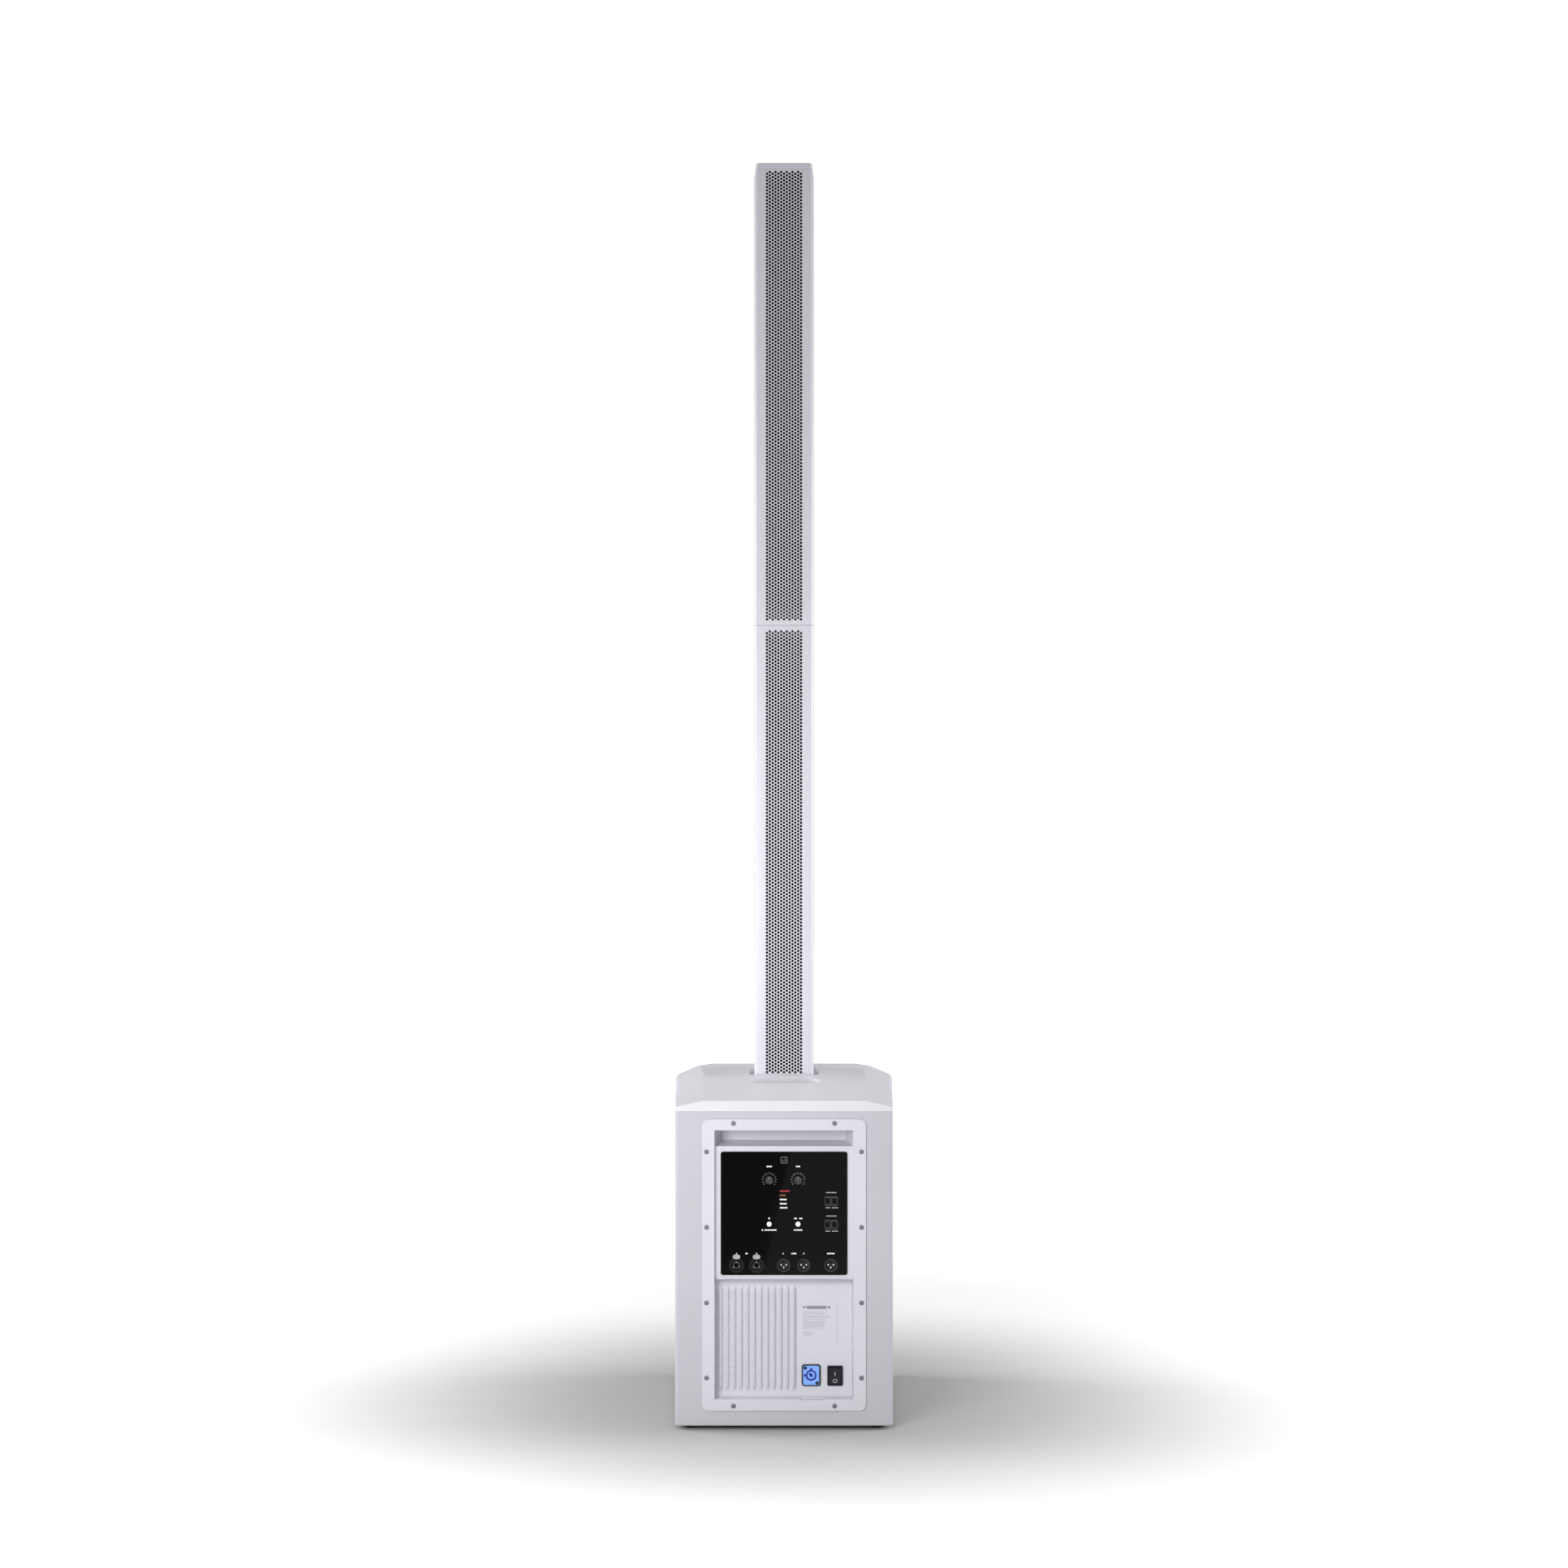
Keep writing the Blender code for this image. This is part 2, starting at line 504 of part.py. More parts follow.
def make_link_jacks():
    """Two blocks, each with two modular jacks side by side."""
    for name, z in JACK_ZS.items():
        jacks = block(name, (JACK_XS[0] - 0.00555, JACK_XS[1] + 0.00555),
                      (PANEL_DEPTH - 0.0006, PANEL_DEPTH + 0.014), (z - 0.0083, z + 0.0083))
        for number, x in enumerate(JACK_XS):
            boolean(jacks, block(f"{name}_cut_{number}", (x - 0.0041, x + 0.0041), (-0.01, PANEL_DEPTH + 0.011),
                                 (z - 0.0040, z + 0.0066), home=CUTTERS))
        finish(jacks, BLACK_PLASTIC)


# ---- base: mains inlet and switch -------------------------------------------------------------
def make_inlet():
    x, z = INLET
    floor = SOCKET_RECESS_DEPTH - GAP
    surround = block("inlet_surround", (x - INLET_HALF[0], x + INLET_HALF[0]), (0.0170, floor),
                     (z - INLET_HALF[1], z + INLET_HALF[1]), 0.004, "Y")
    boolean(surround, block("surround_cut", (x - 0.0134, x + 0.0134), (0.0, 0.03), (z - 0.0160, z + 0.0160),
                            0.003, "Y", home=CUTTERS))
    finish(surround, BLACK_PLASTIC)

    face = 0.0160
    body = block("inlet_body", (x - 0.0131, x + 0.0131), (face, floor), (z - 0.0157, z + 0.0157), 0.0027, "Y")
    boolean(body, turned("inlet_barrel", [(0, -0.001), (0.0112, -0.001), (0.0112, -0.026), (0, -0.026)],
                         x, z, face, segments=20, home=CUTTERS), "UNION")
    boolean(body, turned("inlet_groove", [(0.0089, 0.01), (0.0089, -0.018), (0.0064, -0.018), (0.0064, 0.01)],
                         x, z, face, segments=20, closed_ring=True, home=CUTTERS))
    boolean(body, block("inlet_core_cut", (x - 0.0070, x + 0.0070), (0.0, face + 0.0015),
                        (z - 0.0070, z + 0.0070), home=CUTTERS))
    for number, (across, up) in enumerate(((0.0, 0.0100), (-0.0098, 0.0))):
        boolean(body, block(f"inlet_key_{number}", (x + across - 0.0019, x + across + 0.0019),
                            (0.0, face + 0.003), (z + up - 0.0019, z + up + 0.0019), home=CUTTERS))
    finish(body, BLUE_PLASTIC)


def make_switch():
    x, z = SWITCH
    floor = SOCKET_RECESS_DEPTH - GAP
    bezel = block("switch_bezel", (x - SWITCH_HALF[0], x + SWITCH_HALF[0]), (0.0175, floor),
                  (z - SWITCH_HALF[1], z + SWITCH_HALF[1]), 0.0015, "Y", 2)
    boolean(bezel, block("switch_housing", (x - 0.0107, x + 0.0107), (0.0185, 0.0375),
                         (z - 0.0149, z + 0.0149), home=CUTTERS), "UNION")
    boolean(bezel, block("switch_cavity", (x - 0.0101, x + 0.0101), (0.0, 0.0345),
                         (z - 0.0142, z + 0.0142), home=CUTTERS))
    finish(bezel, BLACK_PLASTIC)

    pivot_depth = 0.0215
    outline = [(0.0042, 0.0132), (0.0022, 0.0), (0.0042, -0.0132), (0.0004, -0.0134), (-0.0055, -0.0050),
               (-0.0055, 0.0050), (0.0004, 0.0134)]
    tilt = math.radians(9)
    ends = []
    for side in (-0.0098, 0.0098):
        ring = []
        for out, up in outline:
            ring.append((x + side, REAR_Y + pivot_depth - out * math.cos(tilt) - up * math.sin(tilt),
                         z - out * math.sin(tilt) + up * math.cos(tilt)))
        ends.append(ring)
    rocker = finish(loft("switch_rocker", ends), BLACK_PLASTIC)
    parented("switch_rocker_axis", (x, REAR_Y + pivot_depth, z), rocker)


# ---- base: inside -----------------------------------------------------------------------------
def circuit(name, xs, depths, zs, parts):
    """A circuit board and the parts on it, each (x, z, width, height, how far it stands, side)."""
    board = block(name, xs, depths, zs)
    solids = []
    for x, z, width, height, tall, side in parts:
        reach = sorted((depths[1] - 0.0004, depths[1] + tall) if side > 0 else
                       (depths[0] + 0.0004, depths[0] - tall))
        solids.append(block("part", (x - width / 2, x + width / 2), reach, (z - height / 2, z + height / 2)))
    return finish(boolean(board, group(name + "_parts", solids, CUTTERS), "UNION"), BOARD)


def make_electronics():
    switches = [(x, z, 0.007, 0.007, 0.0170, -1) for x, z in BUTTONS.values()]
    circuit("control_board", (-0.095, 0.095), (0.0262, 0.0278), (0.262, 0.444),
            switches + [(-0.05, 0.37, 0.020, 0.020, 0.003, 1), (0.05, 0.31, 0.014, 0.014, 0.003, 1)])
    circuit("amplifier_board", (-0.090, 0.090), (0.0450, 0.0466), (0.070, 0.230),
            [(-0.05, 0.12, 0.030, 0.030, 0.020, 1), (0.0, 0.12, 0.030, 0.030, 0.020, 1),
             (0.05, 0.18, 0.040, 0.025, 0.012, 1)])
    circuit("power_supply_board", (-0.090, 0.090), (0.0600, 0.0616), (0.262, 0.440),
            [(0.0, 0.35, 0.050, 0.045, 0.040, 1), (-0.06, 0.32, 0.030, 0.030, 0.035, 1),
             (0.06, 0.40, 0.030, 0.030, 0.035, 1)])
    finish(block("heat_spreader", (-0.105, 0.105), (0.0275 + GAP, 0.0320), (0.112, 0.240)), ALUMINIUM)


def make_woofer():
    front = BAFFLE_DEPTHS[1] + GAP
    x, z = 0.0, WOOFER_Z

    def piece(name, profile, surface, ring=False, segments=28):
        return finish(turned(name, profile, x, z, front, True, segments, ring), surface)

    piece("woofer_basket", [(0.155, 0.004), (0.155, 0.0), (0.1405, 0.0), (0.1365, -0.010), (0.072, -0.085),
                            (0.045, -0.085), (0.045, -0.082), (0.069, -0.082), (0.1325, -0.010),
                            (0.136, 0.004)], FERRITE, True)
    piece("woofer_magnet", [(0, -0.0853), (0.0235, -0.0853), (0.0235, -0.112), (0.0290, -0.112),
                            (0.0290, -0.0853), (0.080, -0.0853), (0.080, -0.125), (0, -0.125)], FERRITE,
          segments=24)
    piece("woofer_voice_coil", [(0.0270, -0.0520), (0.0270, -0.1020), (0.0255, -0.1020),
                                (0.0255, -0.0520)], BRASS, True, 20)
    piece("woofer_cone", [(0, -0.0280), (0.018, -0.0340), (0.0300, -0.0470), (0.1180, -0.0030),
                          (0.1180, -0.0045), (0.0300, -0.0515), (0, -0.0515)], PAPER)
    piece("woofer_surround", [(0.1185, -0.0030), (0.1225, 0.0050), (0.1305, 0.0050), (0.1345, 0.0010),
                              (0.1345, -0.0005), (0.1300, 0.0035), (0.1230, 0.0035),
                              (0.1185, -0.0045)], RUBBER, True)
    tube = [(0.048, 0.004), (0.048, 0.0), (0.040, 0.0), (0.040, -0.160), (0.0375, -0.160),
            (0.0375, -0.002), (0.044, 0.004)]
    for name, side in (("left_port_tube", -1), ("right_port_tube", 1)):
        finish(turned(name, tube, side * PORT_X, PORT_Z, front, True, 16, True), BLACK_PLASTIC)


def contact_pins(name, base_z):
    """Eight contact pins that point up from a connector, as one tool."""
    profile = [(0, 0.0080), (0.0016, 0.0080), (0.0016, -0.002), (0, -0.002)]
    return group(name, [upright(turned("pin", profile, across, base_z, CONTACT_DEPTH + along, segments=8))
                        for across, along in contact_places()], CUTTERS)


def contact_places():
    return [(across, along) for across in (-0.021, -0.007, 0.007, 0.021) for along in (-0.007, 0.007)]


def make_well_connector():
    top = WELL_FLOOR_Z + 0.012
    body = block("well_connector", (-0.030, 0.030), (CONTACT_DEPTH - 0.016, CONTACT_DEPTH + 0.016),
                 (WELL_FLOOR_Z + GAP, top), 0.003)
    finish(boolean(body, contact_pins("well_pins", top), "UNION"), BLACK_PLASTIC)


# ---- column -----------------------------------------------------------------------------------
def front_depth(x):
    """The column's crowned front, as a depth at a distance from the middle."""
    return COLUMN_DEPTH + COLUMN_THICKNESS - 0.0075 * (x / 0.044) ** 2


def column_outline(inset=0.0, rear_inset=None):
    """Right half of the column's plan, from the rear to the front, drawn in by an inset."""
    rear = inset if rear_inset is None else rear_inset
    half = COLUMN_HALF_WIDTH - inset
    face = COLUMN_DEPTH
    right = [(0.045 - inset, face + rear), (half - 0.0022, face + 0.0018 + rear),
             (half - 0.0006, face + 0.0050 + rear), (half, face + 0.0100),
             (half, face + 0.100), (half - 0.0020, face + 0.1085 - inset),
             (0.044 - inset, front_depth(0.044) - inset)]
    for x in (0.030, 0.015):
        right.append((x, front_depth(x) - inset))
    return mirrored(right + [(0.0, front_depth(0) - inset)])


def column_ring(z, inset=0.0, rear_inset=None):
    return [(x, REAR_Y + depth, z) for x, depth in column_outline(inset, rear_inset)]


def bar_outline(half, thickness):
    """A strip that follows the crowned front."""
    xs = [half * step / 3 for step in range(-3, 4)]
    outer = [(x, front_depth(x)) for x in xs]
    return outer + [(x, depth - thickness) for x, depth in reversed(outer)]


def make_column(prefix, zs, shell_top, foam_top, rear_grille_z, front_grille_z, drivers):
    """One column element: shell, grilles, foam, drivers and the plate that plugs in below."""
    rings = [column_ring(zs[0])]
    if shell_top < zs[1]:
        rings += [column_ring(TAPER_Z), column_ring(shell_top, 0.0020, 0.0)]
    else:
        rings += [column_ring(shell_top)]
    shell = loft(prefix + "_shell", rings)
    boolean(shell, prism(prefix + "_bore", column_outline(COLUMN_WALL), (zs[0] - 0.01, zs[1] + 0.01), CUTTERS))
    boolean(shell, block(prefix + "_rear_window", (-GRILLE_HALF_WIDTH, GRILLE_HALF_WIDTH),
                         (COLUMN_DEPTH - 0.01, COLUMN_DEPTH + 0.01), rear_grille_z, home=CUTTERS))
    boolean(shell, block(prefix + "_front_window", (-FRONT_GRILLE_HALF_WIDTH, FRONT_GRILLE_HALF_WIDTH),
                         (COLUMN_DEPTH + 0.104, COLUMN_DEPTH + 0.14), front_grille_z, home=CUTTERS))
    finish(shell, WHITE_PAINT)

    half = GRILLE_HALF_WIDTH - GAP
    finish(block(prefix + "_rear_grille", (-half, half), (COLUMN_DEPTH, COLUMN_DEPTH + COLUMN_WALL),
                 (rear_grille_z[0] + GAP, rear_grille_z[1] - GAP)), WHITE_PAINT)
    finish(block(prefix + "_rear_foam", (-0.036, 0.036),
                 (COLUMN_DEPTH + COLUMN_WALL + GAP, COLUMN_DEPTH + COLUMN_WALL + 0.003),
                 (zs[0] + 0.0265, foam_top)), FOAM)
    strip = bar_outline(FRONT_GRILLE_HALF_WIDTH - GAP, 0.0015)
    finish(prism(prefix + "_front_grille", strip, (front_grille_z[0] + GAP, front_grille_z[1] - GAP)),
           WHITE_PAINT)

    panel_depth = COLUMN_DEPTH + 0.098
    array = block(prefix + "_driver_array", (-0.0472, 0.0472), (panel_depth, panel_depth + 0.003),
                  (zs[0] + 0.030, drivers[-1] + 0.055))
    speaker = [(0, -0.009), (0.0090, -0.0120), (0.0280, -0.0010), (0.0310, 0.0020), (0.0420, 0.0020),
               (0.0420, -0.0005), (0.0365, -0.0010), (0.0230, -0.028), (0.0230, -0.045), (0, -0.045)]
    hole = [(0, 0.01), (0.0330, 0.01), (0.0330, -0.01), (0, -0.01)]
    holes = [turned("hole", hole, 0, z, panel_depth, True, 12) for z in drivers]
    boolean(array, group(prefix + "_driver_holes", holes, CUTTERS))
    solids = [turned("speaker", speaker, 0, z, panel_depth + 0.003, True, 12) for z in drivers]
    finish(boolean(array, group(prefix + "_speakers", solids, CUTTERS), "UNION"), FERRITE)

    plug = prism(prefix + "_plug_plate", column_outline(COLUMN_WALL + 0.0005), (zs[0] + GAP, zs[0] + 0.026))
    boolean(plug, block(prefix + "_plug_pocket", (-0.031, 0.031), (0.285, 0.319),
                        (zs[0] - 0.01, zs[0] + 0.0130), 0.003, home=CUTTERS))
    sleeve = [(0, 0.0225), (0.0021, 0.0225), (0.0021, 0.0), (0, 0.0)]
    sleeves = [upright(turned("sleeve", sleeve, across, zs[0], CONTACT_DEPTH + along, segments=6))
               for across, along in contact_places()]
    boolean(plug, group(prefix + "_sleeve_cut", sleeves, CUTTERS))
    if prefix == "upper":
        boolean(plug, guide_pins("upper_guide_cut", 0.0064, 0.0010))
    finish(plug, BLACK_PLASTIC)


def guide_pins(name, radius, extra):
    """Two pins that stand on the lower element and line up the upper one, as one tool."""
    profile = [(0, 0.020 + extra), (radius - 0.001, 0.020 + extra), (radius, 0.017 + extra), (radius, -0.002),
               (0, -0.002)]
    return group(name, [upright(turned("pin", profile, across, LOWER_Z[1] - GAP, CONTACT_DEPTH, segments=12))
                        for across in (-0.039, 0.039)], CUTTERS)


def make_joint_plate():
    """The lower element's top plate, with its connector and guide pins."""
    top = LOWER_Z[1] - 2 * GAP
    plate = prism("lower_top_plate", column_outline(COLUMN_WALL + 0.0005), (top - 0.020, top))
    boolean(plate, block("lower_connector", (-0.030, 0.030), (CONTACT_DEPTH - 0.016, CONTACT_DEPTH + 0.016),
                         (top - 0.010, top + 0.012), 0.003, home=CUTTERS), "UNION")
    boolean(plate, contact_pins("joint_contacts", top + 0.012), "UNION")
    boolean(plate, guide_pins("guides", 0.0058, 0.0), "UNION")
    finish(plate, BLACK_PLASTIC)


def make_high_frequency():
    """The flared guide in front of the tweeters, at the top of the upper element."""
    panel_depth = COLUMN_DEPTH + 0.098
    guide = block("upper_waveguide", (-0.0465, 0.0465), (panel_depth - 0.030, panel_depth + 0.004),
                  (1.850, 2.078))
    middle = 1.964

    for number, z in enumerate((middle - 0.054, middle + 0.054)):
        boolean(guide, loft(f"horn_{number}", [
            rectangle(0, 0.009, (z - 0.010, z + 0.010), panel_depth - 0.032),
            rectangle(0, 0.012, (z - 0.018, z + 0.018), panel_depth - 0.020),
            rectangle(0, 0.041, (z - 0.046, z + 0.046), panel_depth + 0.005)], CUTTERS))
        tweeter = [(0, -0.0303), (0.0210, -0.0303), (0.0210, -0.0480), (0, -0.0480)]
        finish(turned(f"{('low', 'high')[number]}_tweeter", tweeter, 0, z, panel_depth, True, 14), FERRITE)
    finish(guide, BLACK_PLASTIC)


def make_top_cap():
    rings = [column_ring(CAP_Z, 0.0020, 0.0), column_ring(CAP_Z + 0.006, 0.0028, 0.0),
             column_ring(UPPER_Z[1] - 0.001, 0.0033, 0.0006), column_ring(UPPER_Z[1], 0.0045, 0.0018)]
    finish(loft("upper_top_cap", rings), WHITE_PLASTIC)


def put_columns_on_axes():
    """Both elements lift off along one upright line through their connectors."""
    shared = ("shell", "rear_grille", "rear_foam", "front_grille", "driver_array", "plug_plate")
    own = {"lower": ["lower_top_plate"],
           "upper": ["upper_waveguide", "upper_top_cap", "low_tweeter", "high_tweeter"]}
    for prefix, base_z in (("lower", LOWER_Z[0]), ("upper", UPPER_Z[0])):
        names = [f"{prefix}_{name}" for name in shared] + own[prefix]
        parented(prefix + "_column_axis", (0.0, REAR_Y + CONTACT_DEPTH, base_z),
                 *(PARTS.objects[name] for name in names))


SCREW_HOLES = make_screw_holes()
make_cabinet()
make_base_cap()
make_amp_plate()
make_control_panel()
make_knobs()
make_buttons()
make_input_sockets()
make_output_sockets()
make_link_jacks()
make_inlet()
make_switch()
make_electronics()
make_woofer()
make_well_connector()
make_column("lower", LOWER_Z, LOWER_Z[1], LOWER_Z[1] - 0.026, (0.5580, 1.3188), (0.6000, 1.3100),
            [0.650 + step * DRIVER_PITCH for step in range(5)])
make_joint_plate()
make_column("upper", UPPER_Z, CAP_Z - GAP, CAP_Z - GAP - 0.001, (1.3340, 2.1060), (1.3400, 2.0850),
            [1.430 + step * DRIVER_PITCH for step in range(3)])
make_high_frequency()
make_top_cap()
put_columns_on_axes()
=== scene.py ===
"""Column PA system, dressed for the studio: finer shapes, perforated sheets, print and finishes.

Laid out as an add-on: sizes and colours are properties, and each group of pieces has its operator.
"""
import json
import math

import bmesh
import bpy
from mathutils import Euler, Matrix, Vector

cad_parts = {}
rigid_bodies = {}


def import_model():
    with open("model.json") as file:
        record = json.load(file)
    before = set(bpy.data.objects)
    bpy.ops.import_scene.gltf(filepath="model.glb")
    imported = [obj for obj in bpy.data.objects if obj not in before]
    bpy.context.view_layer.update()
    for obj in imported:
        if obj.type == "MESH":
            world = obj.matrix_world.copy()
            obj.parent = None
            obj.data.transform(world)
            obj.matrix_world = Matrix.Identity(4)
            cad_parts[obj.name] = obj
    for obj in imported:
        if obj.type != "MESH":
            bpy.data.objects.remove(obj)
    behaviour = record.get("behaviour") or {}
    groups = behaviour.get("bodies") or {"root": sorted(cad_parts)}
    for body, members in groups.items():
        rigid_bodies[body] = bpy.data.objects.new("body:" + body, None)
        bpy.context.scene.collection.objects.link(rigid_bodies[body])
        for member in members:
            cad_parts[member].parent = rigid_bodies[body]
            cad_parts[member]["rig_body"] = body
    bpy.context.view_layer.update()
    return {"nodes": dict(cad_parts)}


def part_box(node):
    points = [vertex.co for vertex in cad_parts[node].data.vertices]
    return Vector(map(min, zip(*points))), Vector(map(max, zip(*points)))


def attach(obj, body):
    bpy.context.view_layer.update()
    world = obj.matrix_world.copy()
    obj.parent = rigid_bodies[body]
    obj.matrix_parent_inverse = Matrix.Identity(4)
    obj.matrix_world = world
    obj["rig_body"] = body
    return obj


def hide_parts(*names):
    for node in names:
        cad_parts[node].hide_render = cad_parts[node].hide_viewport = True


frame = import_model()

bl_info = {
    "name": "Column PA System",
    "version": (1, 0, 0),
    "blender": (4, 5, 0),
    "location": "View3D > Sidebar > Column PA",
    "description": "Builds the visible pieces of a column PA system around its fixed frame",
    "category": "Object",
}

REAR_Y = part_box("cabinet_shell")[0].y
PANEL_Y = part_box("control_panel")[0].y
RECESS_Y = REAR_Y + 0.020      # floor of the connector recess
MERGE = 0.00001
WHITE = (1.0, 1.0, 1.0)


# ---- places ----
def middle(node):
    low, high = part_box(node)
    return (low + high) / 2


def on_panel(node):
    """The point of the control panel's face in front of a node's middle."""
    centre = middle(node)
    return centre.x, PANEL_Y, centre.z


# ---- node graphs ----
class Wire:
    """An output socket that can stand in a Python expression of numbers."""

    def __init__(self, graph, socket):
        self.graph = graph
        self.socket = socket


def arithmetic(operation, swapped=False):
    """A method that adds a Math node, with the wire as its first value or its last."""
    def method(self, *others):
        values = (*others, self) if swapped else (self, *others)
        return self.graph.number(operation, *values)
    return method


for word, operation in {"add": "ADD", "sub": "SUBTRACT", "mul": "MULTIPLY", "truediv": "DIVIDE"}.items():
    setattr(Wire, f"__{word}__", arithmetic(operation))
    setattr(Wire, f"__r{word}__", arithmetic(operation, True))
for word, operation in {"pow": "POWER", "mod": "FLOORED_MODULO", "gt": "GREATER_THAN", "abs": "ABSOLUTE"}.items():
    setattr(Wire, f"__{word}__", arithmetic(operation))


class Graph:
    """A node tree with one way to add any node."""

    def __init__(self, tree):
        self.tree = tree

    def add(self, kind, settings=None, inputs=None, output=0):
        """Add a node: its settings first, then its sockets by name or number, and give back an output."""
        node = self.tree.nodes.new(kind)
        for key, value in (settings or {}).items():
            setattr(node, key, value)
        given = inputs or {}
        for key, value in given.items() if isinstance(given, dict) else enumerate(given):
            self.plug(node.inputs[key], value)
        return Wire(self, node.outputs[output])

    def plug(self, socket, value):
        if isinstance(value, Wire):
            self.tree.links.new(value.socket, socket)
        elif isinstance(value, tuple) and len(value) == 3 and socket.type == "RGBA":
            socket.default_value = (*value, 1.0)
        elif value is not None:
            socket.default_value = value

    def number(self, operation, *values):
        return self.add("ShaderNodeMath", {"operation": operation}, list(values))

    def mix(self, factor, first, second):
        """A colour between two colours."""
        return self.add("ShaderNodeMix", {"data_type": "RGBA"}, {0: factor, 6: first, 7: second}, 2)

    def noise(self, place, scale, detail=3.0, rough=0.55):
        return self.add("ShaderNodeTexNoise", None,
                        {"Vector": place, "Scale": scale, "Detail": detail, "Roughness": rough})

    def ramp(self, value, low, high):
        """Zero below one value, one above another, smooth between."""
        return self.add("ShaderNodeMapRange", {"interpolation_type": "SMOOTHSTEP"},
                        {"Value": value, "From Min": low, "From Max": high})

    def parts(self, vector):
        node = self.add("ShaderNodeSeparateXYZ", None, {"Vector": vector}).socket.node
        return [Wire(self, socket) for socket in node.outputs]


class Finish(Graph):
    """A material with its shader, built on the object's own coordinates."""

    def __init__(self, name, roughness, metallic=0.0, coat=0.0, coat_roughness=0.1, specular=0.5):
        self.material = bpy.data.materials.new(name)
        self.material.use_nodes = True
        super().__init__(self.material.node_tree)
        self.shader = self.tree.nodes["Principled BSDF"]
        self.set(Roughness=roughness, Metallic=metallic, Coat_Weight=coat, Coat_Roughness=coat_roughness,
                 Specular_IOR_Level=specular)
        self.place = self.add("ShaderNodeTexCoord", output=3)

    def set(self, **sockets):
        for name, value in sockets.items():
            self.plug(self.shader.inputs[name.replace("_", " ")], value)
        return self

    def bump(self, height, distance, strength=0.6):
        normal = self.add("ShaderNodeBump", None,
                          {"Strength": strength, "Distance": distance, "Height": height})
        return self.set(Normal=normal)


FINISHES = {}


def finish(maker):
    """Remember each finish by its function's name, so that it is built once."""
    def build(*values):
        key = (maker.__name__, *values)
        if key not in FINISHES:
            FINISHES[key] = maker(*values).material
        return FINISHES[key]
    return build


def mottled(made, colour, shade, roughness, scale, spread):
    """Colour that drifts slightly over a surface, and roughness that drifts with it."""
    cloud = made.noise(made.place, scale)
    return made.set(Base_Color=made.mix(made.ramp(cloud, 0.25, 0.75), colour, shade),
                    Roughness=roughness + (cloud - 0.5) * spread)


@finish
def cabinet_paint():
    """Sprayed texture paint on plywood: a fine orange peel, rubbed a little near the floor."""
    colour = tuple(bpy.context.scene.pa_colours.cabinet)
    made = Finish("cabinet paint", 0.5, specular=0.4)
    cloud = made.noise(made.place, 5.0)
    height = made.parts(made.place)[2]
    low = (1.0 - made.ramp(height, 0.0, 0.09)) * made.ramp(made.noise(made.place, 60.0), 0.48, 0.70)
    base = made.mix(made.ramp(cloud, 0.3, 0.7), colour, tuple(0.965 * c for c in colour))
    made.set(Base_Color=made.mix(low * 0.35, base, (0.52, 0.51, 0.50)),
             Roughness=0.46 + cloud * 0.10 + low * 0.1)
    peel = made.noise(made.place, 900.0, 2.0) * 0.6 + made.noise(made.place, 2400.0, 1.0) * 0.4
    return made.bump(peel, 0.00012, 0.35)


def moulded(name, colour, grain, roughness):
    """Moulded plastic with a spark-eroded grain."""
    made = Finish(name, roughness, specular=0.45)
    mottled(made, colour, tuple(0.97 * c for c in colour), roughness, 9.0, 0.08)
    cells = made.add("ShaderNodeTexVoronoi", {"feature": "SMOOTH_F1"},
                     {"Vector": made.place, "Scale": grain, "Smoothness": 0.6})
    return made.bump(cells * 0.7 + made.noise(made.place, grain * 2.2, 1.0) * 0.3, 0.00008, 0.35)


@finish
def cover_moulding():
    return moulded("cover moulding", tuple(bpy.context.scene.pa_colours.cover), 1300.0, 0.46)


@finish
def plate_moulding():
    return moulded("rear plate moulding", tuple(bpy.context.scene.pa_colours.moulding), 1500.0, 0.42)


def plain(name, colour, shade, roughness, cloud, grain, glow=None, **surface):
    """A mottled, fine-grained finish.

    The cloud is a noise's scale and its share in the roughness. The grain is a noise's scale and detail, and a
    bump's depth and strength. The glow is a colour and a strength.
    """
    made = Finish(name, roughness, **surface)
    mottled(made, colour, shade, roughness, *cloud)
    # emission: on the pins and on printed ink this glow is painted light
    if glow:
        made.set(Emission_Color=glow[0], Emission_Strength=glow[1])
    return made.bump(made.noise(made.place, *grain[:2]), *grain[2:])


@finish
def column_coat():
    """Powder coat on the column: satin, with the coat's slight waviness."""
    colour = tuple(bpy.context.scene.pa_colours.column)
    return plain("column powder coat", colour, tuple(0.975 * c for c in colour), 0.34, (6.0, 0.08),
                 (700.0, 2.0, 0.00006, 0.25), coat=0.15, coat_roughness=0.25)


@finish
def satin_black(depth):
    """Fine-grained black plastic, from the deepest black at 0 to a dark grey at 1."""
    grey = 0.010 + 0.030 * depth
    return plain("satin black plastic", (grey, grey, grey * 1.08), (grey * 1.3, grey * 1.3, grey * 1.42), 0.42,
                 (140.0, 0.14), (2600.0, 2.0, 0.00005, 0.35), specular=0.2)


@finish
def rocker_black():
    return plain("rocker gloss", (0.014, 0.013, 0.020), (0.019, 0.0175, 0.026), 0.30, (90.0, 0.12),
                 (1900.0, 1.0, 0.00003, 0.3), specular=0.35)


@finish
def inlet_plastic(dark):
    """Nylon of the mains inlet: light blue face, dark blue ring."""
    light = ((0.230, 0.450, 1.0), (0.205, 0.410, 0.95))
    deep = ((0.001, 0.014, 0.33), (0.001, 0.010, 0.26))
    return plain("inlet nylon", *(deep if dark else light), 0.36, (160.0, 0.12), (2300.0, 2.0, 0.00004, 0.3))


@finish
def grey_latch():
    return plain("latch plastic", (0.30, 0.31, 0.33), (0.36, 0.37, 0.39), 0.40, (170.0, 0.14),
                 (2100.0, 2.0, 0.00004, 0.4))


